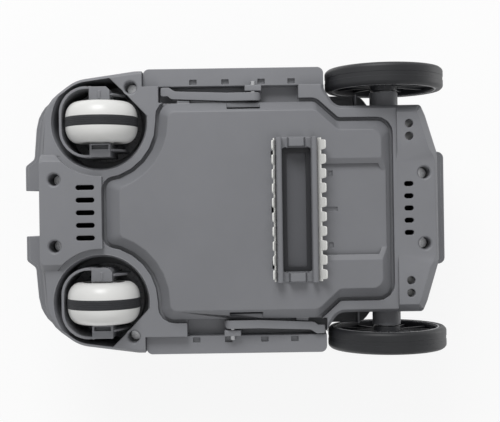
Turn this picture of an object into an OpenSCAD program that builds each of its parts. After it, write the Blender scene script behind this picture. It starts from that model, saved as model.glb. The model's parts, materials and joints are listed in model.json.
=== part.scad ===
// Jet-driven pool cleaner, standing on its wheels.
// +Z up, nose towards -Y. The origin is on the floor, under the middle of the body.

/* [Body] */
// Length from the nose to the tail
body_len = 424; // [414:1:440]
// Width over the two side panels
body_w = 279; // [275:1:290]
// Height of the chassis floor ring over the ground
pan_z = 30; // [28:0.5:33]
// Height of the seam between chassis and hood
rim_z = 72; // [68:1:76]
// Wall of the moulded housings
wall = 3; // [2.5:0.1:3.6]
// How far the hood's nose stands in front of the chassis
nose_overhang = 23.5; // [20:0.5:27]
// How far the hood's tail stands behind the chassis
tail_overhang = 14; // [11:0.5:16]

/* [Hood] */
// Height of the hood's crown over the seam
hood_h = 124; // [116:1:132]
// Half width of the crown
crown_x = 62; // [54:1:70]
// Half length of the crown
crown_y = 74; // [66:1:82]
// Half width of the bumps on both sides of the nose outlet
bump_x = 48; // [44:1:52]

/* [Front plate and rear plate] */
// How far the front plate stands below the floor ring
front_drop = 6; // [4:0.5:8]
// How far the rear plate stands below the floor ring
rear_drop = 4; // [3:0.5:6]
// Half width of the front plate at its back edge
front_plate_x = 35.5; // [33:0.5:38]
// Number of slots in each plate
slot_count = 5; // [3:1:5]
// Length of a front slot
front_slot_l = 18; // [14:0.5:20]
// Length of a rear slot
rear_slot_l = 9; // [7:0.5:11]
// Width of a slot
slot_w = 4.8; // [3.5:0.1:6]
// Pitch of the slots
slot_pitch = 12.2; // [11:0.1:13]

/* [Bottom lid] */
// Distance from the lid's side edge to the outside of the body
lid_side = 34.5; // [33.5:0.5:36.5]
// Front edge of the lid, from the nose
lid_front = 87.5; // [86:0.5:90]
// Rear edge of the lid, from the tail
lid_rear = 61; // [58:0.5:64]
// Depth of the lid's raised face below its edge
lid_drop = 11.5; // [9:0.5:13]
// Running gap between the lid and the chassis
lid_gap = 3.5; // [2.5:0.1:4.2]
// Width of the lid's sloping border
lid_slope = 9.5; // [8:0.5:11]

// Depth of the channel from the mouth to the tail
valley = 6.5; // [4:0.5:7]
// Height of the bag's hoops
hoop_z = 84; // [74:1:86]
// Thickness of the hoops
hoop_d = 4; // [3:0.1:5]

/* [Suction mouth] */
// Centre of the mouth, from the tail
mouth_back = 152; // [148:0.5:156]
// Length of the mouth's opening across the cleaner
mouth_l = 119; // [105:1:125]
// Width of the mouth's opening
mouth_w = 28; // [26:0.5:30]
// Width of the rails along the mouth
rail_w = 5.6; // [5:0.1:6.2]
// Length of the end tongues beyond the opening
tongue_l = 10; // [8:0.5:12]
// Number of teeth on a wiper strip
tooth_count = 10; // [6:1:12]
// Ground clearance of the wiper teeth
wiper_z = 5; // [3:0.5:8]
// Angle of the front wiper away from the mouth
front_splay = 12; // [6:1:20]
// Angle of the rear wiper away from the mouth
rear_splay = 29; // [20:1:32]
// Thickness of a wiper strip
wiper_t = 1.4; // [1:0.1:2]

/* [Rear wheels] */
// Diameter of a rear tyre
wheel_d = 117; // [112:1:120]
// Width of a rear tyre
tyre_w = 21; // [18:0.5:23]
// Thickness of the rear tyre's rubber
tyre_t = 4.5; // [3.5:0.1:6]
// Rear axle, from the tail
wheel_back = 62; // [60:0.5:64]
// Distance from a rear wheel's inner face to the outside of the body
wheel_side = 22.5; // [19.5:0.5:23.5]
// Diameter of the stub axles
axle_d = 10; // [8:0.5:12]
// Number of ribs on a wheel's inner side
rib_count = 12; // [8:1:14]

/* [Front casters] */
// Diameter of a front roller
roller_d = 71; // [68:0.5:72]
// Width of a front roller
roller_w = 40; // [36:0.5:41]
// Width of the rubber band round a roller
band_w = 9.6; // [7:0.1:12]
// Caster axis, from the outside of the body
caster_side = 52; // [51.5:0.5:52.5]
// Caster axis, from the nose
caster_back = 82; // [81.5:0.5:83]
// Radius of the round well
well_r = 44.5; // [44:0.1:45]
// Radius of the caster's turntable
table_r = 37.2; // [35:0.1:37.4]
// Diameter of a roller's axle
roller_axle_d = 8; // [6:0.5:9]
// How far a roller trails behind its swivel axis
caster_trail = 1.5; // [0:0.1:2]

/* [Latches] */
// Length of a latch lever from its pivot to its end
latch_l = 90; // [84:1:94]
// Thickness of a lever
latch_t = 8; // [6.5:0.1:9]
// Height of a lever
latch_h = 15; // [12:0.5:16]
// Diameter of a latch pin
latch_pin_d = 5; // [4:0.1:6]

/* [Pump] */
// Diameter of the motor can
motor_d = 84; // [76:1:88]
// Height of the motor can
motor_h = 36; // [32:1:38]
// Diameter of the impeller
impeller_d = 68; // [60:1:70]
// Bore of the discharge ducts
duct_d = 31; // [27:0.5:32]
// Bore of the jet nozzles
nozzle_d = 28; // [22:0.5:29]
// Diameter of the supply cable that the gland takes
cable_d = 8; // [6:0.5:9]

/* [Handle] */
// Height of the handle over the crown
handle_h = 30; // [26:1:36]
// Width of the handle
handle_w = 24; // [18:1:28]
// Thickness of the handle's bar
handle_t = 9; // [7:0.5:10]

/* [Hidden] */

clearance = 0.3;      // between pieces that move past each other
running = 0.1;        // radial clearance of a shaft in its bore
eps = 0.01;           // overlap of cuts past a face
round_fn = 64;        // sides of a full round
corner_n = 4;         // segments of a rounded corner

grey = [0.33, 0.34, 0.36];
dark = [0.12, 0.12, 0.13];
white = [0.9, 0.9, 0.9];
steel = [0.7, 0.7, 0.72];

nose_y = -body_len / 2;
tail_y = body_len / 2;
side_x = body_w / 2;
lid_x = side_x - lid_side;
wheel_in = side_x - wheel_side;
caster_x = side_x - caster_side;
front_z = pan_z - front_drop;
rear_z = pan_z - rear_drop;
pan_front = nose_y + nose_overhang;
pan_rear = tail_y - tail_overhang;
floor_t = wall + 1;

wheel_y = tail_y - wheel_back;
wheel_r = wheel_d / 2;
rim_r = wheel_r - tyre_t;
hub_r = 13;
boss_r = 14;
boss_x = wheel_in - 1.5;
axle_end = wheel_in + tyre_w - 7;

caster_y = nose_y + caster_back;
roller_r = roller_d / 2;
table_z = roller_d + 3.5;
table_t = 4;
well_top = table_z + table_t + clearance;
cup_t = 3;
post_z = well_top + cup_t;
leg_in = roller_w / 2 + 0.9;
leg_t = 13;
leg_half = 10;

panel_y0 = caster_y + 42;
panel_y1 = wheel_y - wheel_r - 3;
panel_in = side_x - 17.5;
panel_z = pan_z + 8;
panel_seat = 4;

lid_y0 = nose_y + lid_front;
lid_y1 = tail_y - lid_rear;
lid_top = pan_z + 6;
lid_edge = 4.5;
lid_face = lid_top - lid_edge - lid_drop;
ledge = 6;
ledge_t = 4;
gasket_t = 1.2;
ledge_z = lid_top + gasket_t + clearance;
well_ring = well_r + 8;
lid_arc = well_ring + lid_gap + 2;
rib_in = ledge + 1.3;
rib_t = 2.4;

mouth_y = tail_y - mouth_back;
rail_z = lid_face - 9.5;
rail_y = mouth_w / 2 + rail_w / 2;
rail_half = mouth_l / 2 + tongue_l;
throat_top = lid_top + 12;
flap_z = lid_face + wall + 6;
flap_t = 2;
flap_pin_r = 1.2;

latch_mid_y = (panel_y0 + panel_y1) / 2 + 7.75;
latch_y = latch_mid_y + 11.5;
latch_z = lid_top - 2;
latch_x = lid_x + 1.3;
latch_hub_r = 7.5;
ear_z = latch_z + latch_h / 2 - 1 + clearance;
ear_y = latch_y - latch_l + 22;
pocket_y0 = latch_y - latch_l - 2;
pocket_y1 = latch_y + 44;
pocket_x0 = lid_x + 0.6;
pocket_top = latch_z + 15;

motor_z = 96;
pump_z = motor_z + motor_h;
pump_h = 18;
valve_z = pump_z + pump_h;
valve_x = 31;
valve_y = 23;
valve_top = rim_z + hood_h - wall - 1;
valve_t = 2.5;
vane_z = (valve_z + valve_t + valve_top - valve_t) / 2;
vane_r = min(valve_y - valve_t, (valve_top - valve_z) / 2 - valve_t) - 0.6;
duct_t = 2.5;
nozzle_seat = 14;
outlet_z = rim_z + 32;
front_bend = -nose_y - 41;
rear_bend = tail_y - 35;
bracket_z = motor_z - 3;
bracket_x = lid_x + 4;
foot_z = pocket_top + 2 * wall;
handle_foot = crown_y - 14;
gland_y = crown_y + 20;
gland_z = rim_z + hood_h + 2;

bracket_holes = [-16, 16];
bag_y = [lid_y0 + 83, lid_y1 - 42];
hoop_x = lid_x - 45;
hoop_w = 6;
bag_posts = [for (x = [-hoop_x, hoop_x], y = bag_y) [x, y]];
clip_x = [-53, 0, 53];
rest_slots = [[-34.6, 5, 4], [0, 4, 13], [34.6, 5, 4]];
drain_x = [side_x - 69.7, side_x - 57.5];
drain_y = tail_y - 42.2;
pin_boss = 6;
pan_screws = [[32.3, nose_y + 38.2, front_z], [34.4, tail_y - 27.5, pan_z],
    [side_x - 18.5, caster_y + 30.5, pan_z]];
screw_hole = 5.7;
head_z = 50;
head_h = 4;

// ---- outlines -------------------------------------------------------------

// Unit vector
function unit(v) = v / norm(v);
// Outward normal of the edge from a to b, on an outline that runs anticlockwise
function out(a, b) = let (d = unit([b[0] - a[0], b[1] - a[1]])) [d[1], -d[0]];
// A corner list with its mirror image added
function both(half) = concat(half, [for (i = [len(half) - 1:-1:0]) [-half[i][0], half[i][1], half[i][2]]]);

// Corners [x, y, radius] moved outwards by d, with their radii to match
function grown(c, d) = [for (i = [0:len(c) - 1])
    let (a = c[(i + len(c) - 1) % len(c)], p = c[i], b = c[(i + 1) % len(c)],
        n1 = out(a, p), n2 = out(p, b),
        q = [p[0], p[1]] + d * (n1 + n2) / (1 + n1 * n2),
        turn = n1[0] * n2[1] - n1[1] * n2[0])
    [q[0], q[1], p[2] == 0 ? 0 : max(0.4, p[2] + (turn > 0 ? d : -d))]];

// The points of an outline whose corners [x, y, radius] are rounded
function rounded(c, n = corner_n) = [for (i = [0:len(c) - 1])
    let (a = c[(i + len(c) - 1) % len(c)], p = c[i], b = c[(i + 1) % len(c)],
        u = unit([a[0] - p[0], a[1] - p[1]]), w = unit([b[0] - p[0], b[1] - p[1]]),
        half = acos(max(-1, min(1, u * w))) / 2,
        bend = abs(half - 90) < 0.05 ? 0 : p[2],
        m = bend == 0 ? [p[0], p[1]] : [p[0], p[1]] + unit(u + w) * bend / sin(half),
        s = [p[0], p[1]] + u * bend / tan(half) - m,
        e = [p[0], p[1]] + w * bend / tan(half) - m)
    each p[2] == 0 ? [[p[0], p[1]]] : [for (k = [0:n])
        let (t = k / n, v = s * (1 - t) + e * t)
        norm(v) < 1e-6 ? m : m + unit(v) * bend]];

// An outline in space at one height
function ring(c, d, z, n = corner_n) = [for (p = rounded(grown(c, d), n)) [p[0], p[1], z]];

// The faces that close a ring of n points, as strips between its two mirrored halves
function cap(first, n) = [for (i = [0:n / 2 - 2])
    [first + i, first + i + 1, first + n - 2 - i, first + n - 1 - i]];
// Faces turned over
function turned_over(faces) = [for (f = faces) [for (i = [len(f) - 1:-1:0]) f[i]]];

// A solid through rings of equally many points, from the lowest to the highest
module loft(rings) {
    n = len(rings[0]);
    m = len(rings);
    polyhedron(points = [for (r = rings) each r], faces = concat(
        [[for (i = [0:n - 1]) i]],
        [for (k = [0:m - 2], i = [0:n - 1]) let (j = (i + 1) % n)
            [k * n + i, (k + 1) * n + i, (k + 1) * n + j, k * n + j]],
        [[for (i = [n - 1:-1:0]) (m - 1) * n + i]]), convexity = 6);
}

// A shell, closed at one end, between outer rings and inner rings, both from the open rim on
module shell(outer, inner) {
    n = len(outer[0]);
    a = len(outer);
    b = len(inner);
    flip = outer[0][0][2] > outer[a - 1][0][2];
    sides = concat(
        [for (k = [0:a - 2], i = [0:n - 1]) let (j = (i + 1) % n)
            [k * n + i, (k + 1) * n + i, (k + 1) * n + j, k * n + j]],
        turned_over(cap((a - 1) * n, n)),
        [for (k = [a:a + b - 2], i = [0:n - 1]) let (j = (i + 1) % n)
            [k * n + j, (k + 1) * n + j, (k + 1) * n + i, k * n + i]],
        cap((a + b - 1) * n, n),
        [for (i = [0:n - 1]) let (j = (i + 1) % n) [i, j, a * n + j, a * n + i]]);
    polyhedron(points = concat([for (r = outer) each r], [for (r = inner) each r]),
        faces = flip ? turned_over(sides) : sides, convexity = 8);
}

// A straight solid over a corner list, from z0 to z1
module prism(c, d, z0, z1) {
    translate([0, 0, z0]) linear_extrude(z1 - z0) polygon(rounded(grown(c, d)));
}

// A cylinder along X
module rod_x(r, x0, x1) {
    translate([x0, 0, 0]) rotate([0, 90, 0]) cylinder(r = r, h = x1 - x0, $fn = round_fn);
}

// The same on the left, and turned by half a turn on the right
module latch_sides() {
    children();
    translate([0, 2 * latch_mid_y, 0]) rotate([0, 0, 180]) children();
}

// The same on both sides of the middle
module sides() {
    children();
    mirror([1, 0, 0]) children();
}

// A slot with round ends along Y
module slot(l, w, z0, z1) {
    translate([0, 0, z0]) linear_extrude(z1 - z0) union() {
        square([w, l - w], center = true);
        for (s = [-1, 1]) translate([0, s * (l - w) / 2]) circle(d = w, $fn = 24);
    }
}

// Chassis, at the level of its seam with the hood
pan_c = both([[50, pan_front, 30], [side_x - 33.5, pan_front + 4.5, 38], [side_x - 10.5, pan_front + 35.5, 36],
    [side_x - 2.5, panel_y0 - 7, 30], [side_x - 2.5, panel_y1, 4], [wheel_in, panel_y1, 8],
    [wheel_in - 16.5, panel_y1 + 11, 12], [wheel_in - 16.5, pan_rear - 16, 4],
    [wheel_in - 27, pan_rear - 11.5, 8], [52, pan_rear, 10]]);

// Hood, at its rim
hood_c = both([[bump_x, nose_y, 4], [bump_x + 7, nose_y + 9, 6], [side_x - 35.5, nose_y + 13, 40],
    [side_x - 10.5, nose_y + 49, 46], [side_x, nose_y + 112, 50], [side_x, panel_y1 - 12, 14],
    [wheel_in - 2.5, panel_y1 + 5, 8], [wheel_in - 2.5, tail_y - 84, 12], [62, tail_y - 45, 18],
    [56, tail_y, 6]]);

// Crown of the hood, with a corner for each one of the rim
crown_c = both([[crown_x * 0.42, -crown_y, 4], [crown_x * 0.6, -crown_y * 0.97, 4],
    [crown_x * 0.8, -crown_y * 0.84, 6], [crown_x * 0.94, -crown_y * 0.6, 8],
    [crown_x, -crown_y * 0.26, 10], [crown_x, crown_y * 0.3, 10], [crown_x * 0.93, crown_y * 0.6, 8],
    [crown_x * 0.8, crown_y * 0.82, 6], [crown_x * 0.62, crown_y * 0.95, 4],
    [crown_x * 0.42, crown_y, 4]]);

// Corners of the lid's edge, which runs round both wells
arc_n = 6;
function lid_half(x, y0, y1, r_well, r0, r1) = let (a0 = 180 - asin((y0 - caster_y) / r_well))
    concat([[caster_x + r_well * cos(a0), y0, r0]],
        [for (k = [1:arc_n]) let (a = a0 - (a0 - 90) * k / arc_n)
            [caster_x + r_well * cos(a), caster_y + r_well * sin(a), 0]],
        [[x, caster_y + r_well + 0.3, min(12, (x - caster_x) * 0.7)], [x, panel_y1 - 9.5, 8],
        [x - 19.5, panel_y1 + 12, 8], [x - 19.5, y1, r1]]);
lid_c = both(lid_half(lid_x, lid_y0, lid_y1, lid_arc, 8, 12));
face_c = both(lid_half(lid_x - lid_slope, lid_y0 + lid_slope + 5, lid_y1 - lid_slope,
    lid_arc + lid_slope, 5, 9));

// ---- fixed housings -------------------------------------------------------

// The round well of a caster, cut off along the chassis wall
module well_cut(extra = 0) {
    intersection() {
        translate([caster_x, caster_y, 0]) union() {
            translate([0, 0, -eps]) cylinder(r = well_r, h = well_top + eps, $fn = round_fn);
            translate([0, 0, pan_z - eps])
                cylinder(r1 = well_r + 2.5, r2 = well_r, h = 6, $fn = round_fn);
            translate([0, 0, front_z - eps])
                cylinder(r1 = well_ring - 0.5, r2 = well_r + 2.5, h = front_drop + 2 * eps, $fn = round_fn);
        }
        difference() {
            prism(pan_c, -wall, front_z - 1, well_top + 1);
            for (p = pan_screws) translate([p[0], p[1], 0])
                cylinder(r = screw_hole + 1.6, h = well_top + 2, $fn = 32);
            // floor round the outer screw
            translate([caster_x, caster_y, pan_z]) rotate([0, 0, 46])
                translate([table_r, -40, 0]) cube([30, 80, floor_t]);
        }
    }
}

// Low plate across the nose
module front_plate() {
    y1 = lid_y0 - lid_gap + 0.4;
    x0 = bump_x + 2;
    difference() {
        hull() {
            prism(both([[x0, pan_front + 0.4, 4], [front_plate_x + 14, y1, 3]]), 0, front_z, front_z + 1);
            prism(both([[x0 + 8, pan_front, 4], [front_plate_x + 14, y1, 3]]), 0, pan_z + 1, pan_z + 2);
        }
        sides() translate([caster_x, caster_y, front_z - 1])
            cylinder(r = well_ring, h = front_drop + 3, $fn = round_fn);
    }
}

// Low plate across the tail, with a channel along its middle
module rear_plate() {
    y0 = lid_y1 + lid_gap + 3.5;
    difference() {
        intersection() {
            loft([ring(pan_c, -7.5, rear_z), ring(pan_c, -0.6, pan_z + 2)]);
            translate([-side_x, y0, rear_z - 1]) cube([2 * side_x, pan_rear - y0 + 1, rear_drop + 5]);
        }
        hull() {
            translate([-45, y0 - 1, rear_z - 1]) cube([90, pan_rear - y0 + 2, rear_drop + 1]);
            translate([-57, y0 - 1, rear_z - 2]) cube([114, pan_rear - y0 + 2, 2]);
        }
    }
}

// Inside of the chassis over its floor, without the walls that stand in it
module pan_hollow() {
    difference() {
        union() {
            difference() {
                prism(pan_c, -wall, pan_z + floor_t, rim_z + 1);
                // deck beside the hood's tail
                difference() {
                    prism(pan_c, 1, rim_z - wall, rim_z + 2);
                    prism(hood_c, -wall - 4, rim_z - wall - 1, rim_z + 3);
                }
            }
            prism(both([[front_plate_x + 8, pan_front + wall, 3], [front_plate_x - 3, lid_y0 - lid_gap - wall, 2]]),
                0, front_z + wall, pan_z + floor_t + eps);
        }
        prism(lid_c, lid_gap + wall, pan_z, ledge_z + ledge_t);
        sides() {
            translate([caster_x, caster_y, front_z]) cylinder(r = well_r + cup_t, h = 90, $fn = round_fn);
            for (p = pan_screws) translate([p[0], p[1], 0]) cylinder(r = 8.5, h = rim_z + 2, $fn = 32);
            translate([panel_in - wall - 1, panel_y0 - wall, 0])
                cube([40, panel_y1 - panel_y0 + 2 * wall, panel_z + 2 * wall + 1]);
            translate([side_x - panel_seat - wall, panel_y0 - wall, 0])
                cube([20, panel_y1 - panel_y0 + 2 * wall, rim_z + 2]);
            translate([wheel_in - 34, wheel_y - boss_r - 2, 0]) cube([40, 2 * boss_r + 4, rim_z + 2]);
            for (x = drain_x) translate([x, drain_y, 0]) cylinder(r = 6.5, h = rim_z + 2, $fn = 32);
        }
        latch_sides() translate([pocket_x0 - wall, pocket_y0 - wall, pan_z])
            cube([panel_in - pocket_x0 + 2 * wall, pocket_y1 - pocket_y0 + 2 * wall, foot_z - pan_z]);
    }
}

module chassis_pan() {
    color(grey) difference() {
        union() {
            loft([ring(pan_c, -3, pan_z), ring(pan_c, 0, pan_z + 3), ring(pan_c, 0, rim_z)]);
            front_plate();
            rear_plate();
            sides() {
                intersection() {
                    translate([caster_x, caster_y, rim_z - 1])
                        cylinder(r = well_r + cup_t, h = well_top + cup_t - rim_z + 1, $fn = round_fn);
                    prism(hood_c, -wall - 6, rim_z - 2, rim_z + 20);
                }
                for (p = pan_screws) translate([p[0], p[1], pan_z + 1])
                    cylinder(r = 6.4, h = post_z - pan_z - 1, $fn = 32);
                translate([0, wheel_y, wheel_r]) rod_x(boss_r, wheel_in - 20, boss_x);
                translate([wheel_in - 18, wheel_y - 30, wheel_r - 12]) cube([14, 1.6, 22]);
            }
        }
        pan_hollow();
        prism(lid_c, lid_gap, front_z - 1, ledge_z);
        prism(lid_c, -ledge, front_z - 1, rim_z + 2);
        sides() {
            well_cut();
            translate([caster_x, caster_y, well_top - 1])
                cylinder(r = 5 + running, h = cup_t + 2, $fn = round_fn);
            // seat of the side panel
            translate([panel_in - clearance, panel_y0 - clearance, pan_z - 1])
                cube([40, panel_y1 - panel_y0 + 2 * clearance + 1, panel_z + wall + clearance - pan_z + 1]);
            translate([side_x - panel_seat - clearance, panel_y0 - clearance, pan_z - 1])
                cube([20, panel_y1 - panel_y0 + 2 * clearance + 1, rim_z - pan_z + 2]);
            // screws of the hood
            for (p = pan_screws) translate([p[0], p[1], front_z - 1]) {
                cylinder(r = screw_hole, h = head_z + head_h - front_z + 1, $fn = 32);
                cylinder(r = 2.3, h = rim_z, $fn = 32);
                translate([0, 0, p[2] - front_z]) cylinder(r1 = screw_hole + 2.6, r2 = screw_hole, h = 2.6, $fn = 32);
            }
            // drain holes of the rear plate
            for (x = drain_x) translate([x, drain_y, rear_z - 1]) cylinder(r = 4, h = rim_z, $fn = 32);
            // bore of the stub axle
            translate([0, wheel_y, wheel_r]) rod_x(axle_d / 2, wheel_in - 34, boss_x + 1);
        }
        // pocket of the latch, open to the lid and to the side panel
        latch_sides() difference() {
            translate([pocket_x0, pocket_y0, pan_z - 2])
                cube([panel_in + wall - pocket_x0, pocket_y1 - pocket_y0, pocket_top + 2 - pan_z]);
            translate([panel_in - pin_boss, latch_y - 8, pan_z - 3]) cube([20, 16, rim_z]);
            translate([panel_in - 0.4, pocket_y0 - 1, panel_z + wall + clearance])
                cube([20, pocket_y1 - pocket_y0 + 2, rim_z]);
        }
        latch_sides() translate([0, latch_y, latch_z]) rod_x(latch_pin_d / 2, latch_x, panel_in + 4);
        // pilot holes of the bracket
        sides() for (y = bracket_holes) translate([bracket_x + 6, y, foot_z - 5.4]) cylinder(r = 2.05, h = 8, $fn = 24);
        for (i = [0:slot_count - 1]) {
            x = (i - (slot_count - 1) / 2) * slot_pitch;
            translate([x, pan_front + 44.6, 0]) slot(front_slot_l, slot_w, front_z - 1, front_z + wall + 1);
            translate([x * 0.97, tail_y - 42.6, 0]) slot(rear_slot_l, slot_w, rear_z - 1, pan_z + floor_t + 1);
        }
    }
}

// Rings of the hood's skin, from the rim to the crown
hood_steps = [0, 0.08, 0.2, 0.34, 0.5, 0.68, 0.86, 1];
function hood_ring(t, d, drop) = let (rim = rounded(grown(hood_c, d), 3), top = rounded(grown(crown_c, d), 3),
        bx = 1 - cos(90 * t), by = pow(bx, 0.7))
    [for (i = [0:len(rim) - 1]) [rim[i][0] * (1 - bx) + top[i][0] * bx,
        rim[i][1] * (1 - by) + top[i][1] * by, rim_z + hood_h * sin(90 * t) - drop * t]];

module hood() {
    color(grey) difference() {
        union() {
            shell([for (t = hood_steps) hood_ring(t, 0, 0)], [for (t = hood_steps) hood_ring(t, -wall, wall)]);
            // screw posts, up to the skin
            intersection() {
                sides() for (p = pan_screws) translate([p[0], p[1], post_z + eps]) cylinder(r = 6, h = hood_h, $fn = 24);
                loft([for (t = hood_steps) hood_ring(t, -1, 1)]);
            }
            // flange on the chassis
            difference() {
                prism(hood_c, -0.5, rim_z + eps, rim_z + wall);
                prism(pan_c, -wall - 3, rim_z - 1, rim_z + wall + 1);
                sides() translate([caster_x, caster_y, rim_z - 1])
                    cylinder(r = well_r + cup_t + 0.4, h = wall + 2, $fn = round_fn);
            }
            translate([0, gland_y, gland_z - 24]) cylinder(r = 15, h = 24, $fn = round_fn);
        }
        sides() for (p = pan_screws) translate([p[0], p[1], post_z - 1]) cylinder(r = 2.1, h = 16, $fn = 24);
        // outlets of the jets
        translate([-23, nose_y - 1, rim_z - 1]) cube([46, 46, outlet_z + 21 - rim_z + 1]);
        translate([-23, tail_y - 30, outlet_z - 23]) cube([46, 40, 46]);
        // seat of the cable gland
        translate([0, gland_y, rim_z]) cylinder(r = 9, h = hood_h + 20, $fn = round_fn);
        // screws of the handle
        for (s = [-1, 1]) translate([0, s * handle_foot, rim_z]) cylinder(r = 2.3, h = hood_h + 10, $fn = 24);
    }
}

module side_panel_left() {
    color(grey) difference() {
        union() {
            difference() {
                translate([panel_in, panel_y0, panel_z]) cube([side_x - panel_in, panel_y1 - panel_y0, wall]);
                // notches in the lower edge
                for (y = [-39, -7.6, 27.7, 57.1])
                    translate([panel_in + 1.5, y - 3.5, panel_z - 1]) cube([5, 7, wall + 2]);
            }
            translate([side_x - panel_seat, panel_y0, panel_z])
                cube([panel_seat, panel_y1 - panel_y0, rim_z - clearance - panel_z]);
        }
        // rounded ends
        for (s = [0, 1]) translate([side_x, s == 0 ? panel_y0 : panel_y1, 0]) mirror([0, s, 0])
            difference() {
                translate([-6, -1, panel_z - 1]) cube([7, 7, rim_z]);
                translate([-6, 6, panel_z - 2]) cylinder(r = 6, h = rim_z, $fn = 48);
            }
        // groove along the outer face
        translate([side_x - 1.2, panel_y0 - 1, rim_z - 14]) cube([3, panel_y1 - panel_y0 + 2, 2]);
    }
}

module side_panel_right() {
    mirror([1, 0, 0]) side_panel_left();
}

module lid_gasket() {
    color(dark) difference() {
        prism(lid_c, -0.6, ledge_z - gasket_t, ledge_z);
        prism(lid_c, 0.7 - ledge, ledge_z - 3, ledge_z + 1);
    }
}

module hood_screws() {
    color(steel) sides() for (p = pan_screws) translate([p[0], p[1], head_z]) difference() {
        union() {
            cylinder(r = 5, h = head_h, $fn = 32);
            cylinder(r = 2, h = post_z - head_z + 12, $fn = 24);
        }
        for (a = [0, 90]) rotate([0, 0, a]) translate([-3, -0.5, -1]) cube([6, 1, 2.5]);
    }
}

// Side view of the handle: an arch on two feet
handle_arch = [[handle_foot - 12, 0, 1], [handle_foot - 13, handle_h - handle_t - 3, 9],
    [-handle_foot + 13, handle_h - handle_t - 3, 9], [-handle_foot + 12, 0, 1],
    [-handle_foot - 14, 0, 1], [-handle_foot - 3, handle_h - 6, 14], [-handle_foot + 34, handle_h, 50],
    [handle_foot - 34, handle_h, 50], [handle_foot + 3, handle_h - 6, 14], [handle_foot + 14, 0, 1]];

module carry_handle() {
    crown = rim_z + hood_h;
    color(dark) translate([0, 0, crown + eps]) difference() {
        intersection() {
            translate([-handle_w / 2, 0, 0]) rotate([90, 0, 90]) linear_extrude(handle_w)
                polygon(rounded([for (i = [len(handle_arch) - 1:-1:0]) handle_arch[i]], 6));
            // waisted in plan
            translate([0, 0, -1]) linear_extrude(handle_h + 2)
                polygon(rounded(both([[handle_w / 2, -handle_foot - 15, 8], [handle_w / 2 - 3, -handle_foot + 20, 20],
                    [handle_w / 2 - 3, handle_foot - 20, 20], [handle_w / 2, handle_foot + 15, 8]]), 6));
        }
        for (s = [-1, 1]) translate([0, s * handle_foot, -1]) cylinder(r = 2.1, h = 16, $fn = 24);
    }
}

module handle_screws() {
    color(steel) for (s = [-1, 1]) translate([0, s * handle_foot, rim_z + hood_h - wall - 2.6]) {
        cylinder(r = 4.5, h = 2.5, $fn = 32);
        cylinder(r = 2, h = wall + 15, $fn = 24);
    }
}

module cable_gland() {
    bore = cable_d / 2 + clearance;
    color(dark) translate([0, gland_y, gland_z]) difference() {
        union() {
            translate([0, 0, -31]) cylinder(r = 8.8, h = 31.5, $fn = round_fn);
            cylinder(r = 13, h = 5, $fn = 6);
            translate([0, 0, 5]) rotate_extrude($fn = round_fn) polygon([[0, 0], [10.5, 0], [10.5, 8],
                [9.6, 11], [7.6, 13.2], [bore + 1.2, 14], [0, 14]]);
        }
        translate([0, 0, -37]) cylinder(r = bore, h = 60, $fn = round_fn);
    }
}

module gland_nut() {
    color(dark) translate([0, gland_y, gland_z - 24 - 6]) difference() {
        cylinder(r = 14, h = 5.9, $fn = 6);
        translate([0, 0, -1]) cylinder(r = 8.85, h = 8, $fn = round_fn);
    }
}

// ---- wheels ---------------------------------------------------------------

// A turned solid on an axis along X, from points [radius, x]
module turned_x(points) {
    rotate([90, 0, 90]) rotate_extrude($fn = 96) polygon(points);
}

module stub_axle_left() {
    color(steel) translate([0, wheel_y, wheel_r]) difference() {
        union() {
            rod_x(axle_d / 2, wheel_in - 33, axle_end);
            rod_x(axle_d / 2 + 4, boss_x, boss_x + 1);
        }
        rod_x(2.1, axle_end - 14, axle_end + 1);
    }
}

module stub_axle_right() {
    mirror([1, 0, 0]) stub_axle_left();
}

module axle_screws() {
    color(steel) sides() translate([0, wheel_y, wheel_r]) difference() {
        union() {
            rod_x(2, axle_end - 12, axle_end + 1);
            rod_x(8.5, axle_end, axle_end + 1.2);
            rod_x(4, axle_end + 1.1, axle_end + 3.2);
        }
        translate([axle_end + 2.2, -3, -0.6]) cube([2, 6, 1.2]);
    }
}

module wheel_rim_left() {
    x0 = boss_x + 1 + clearance;
    w = wheel_in + tyre_w;
    hub_face = axle_end - clearance;
    color(grey) translate([0, wheel_y, wheel_r]) difference() {
        union() {
            turned_x([[0, x0], [hub_r, x0], [hub_r + 1, wheel_in + 9], [22, wheel_in + 8.2], [34, wheel_in + 8.2],
                [45, wheel_in + 10], [rim_r - 4.5, wheel_in + 9.5], [rim_r - 4.5, wheel_in + 1.6],
                [rim_r - 1.5, wheel_in + 0.8], [rim_r - 1.5, wheel_in + 3.5], [rim_r, wheel_in + 3.5],
                [rim_r, w - 3.5], [rim_r - 1.5, w - 3.5], [rim_r - 1.5, w - 0.8], [rim_r - 4.5, w - 1.6],
                [rim_r - 5.5, w - 6], [44, wheel_in + 12.8], [34, wheel_in + 11], [24, wheel_in + 11],
                [17.8, wheel_in + 12.5], [17.8, w - 1.6], [15.4, w - 1.6], [15.4, hub_face], [0, hub_face]]);
            // ribs of the inner side
            for (i = [0:rib_count - 1]) rotate([i * 360 / rib_count, 0, 0]) translate([wheel_in + 4, hub_r - 2, -0.9])
                cube([5.5, rim_r - 4 - hub_r + 1, 1.8]);
            // ribs of the outer side
            for (i = [0:5]) rotate([i * 60, 0, 0]) translate([wheel_in + 10, 17, -1.6]) cube([4.4, rim_r - 5 - 17, 3.2]);
        }
        rod_x(axle_d / 2 + running, x0 - 1, w + 1);
    }
}

module wheel_rim_right() {
    mirror([1, 0, 0]) wheel_rim_left();
}

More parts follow.
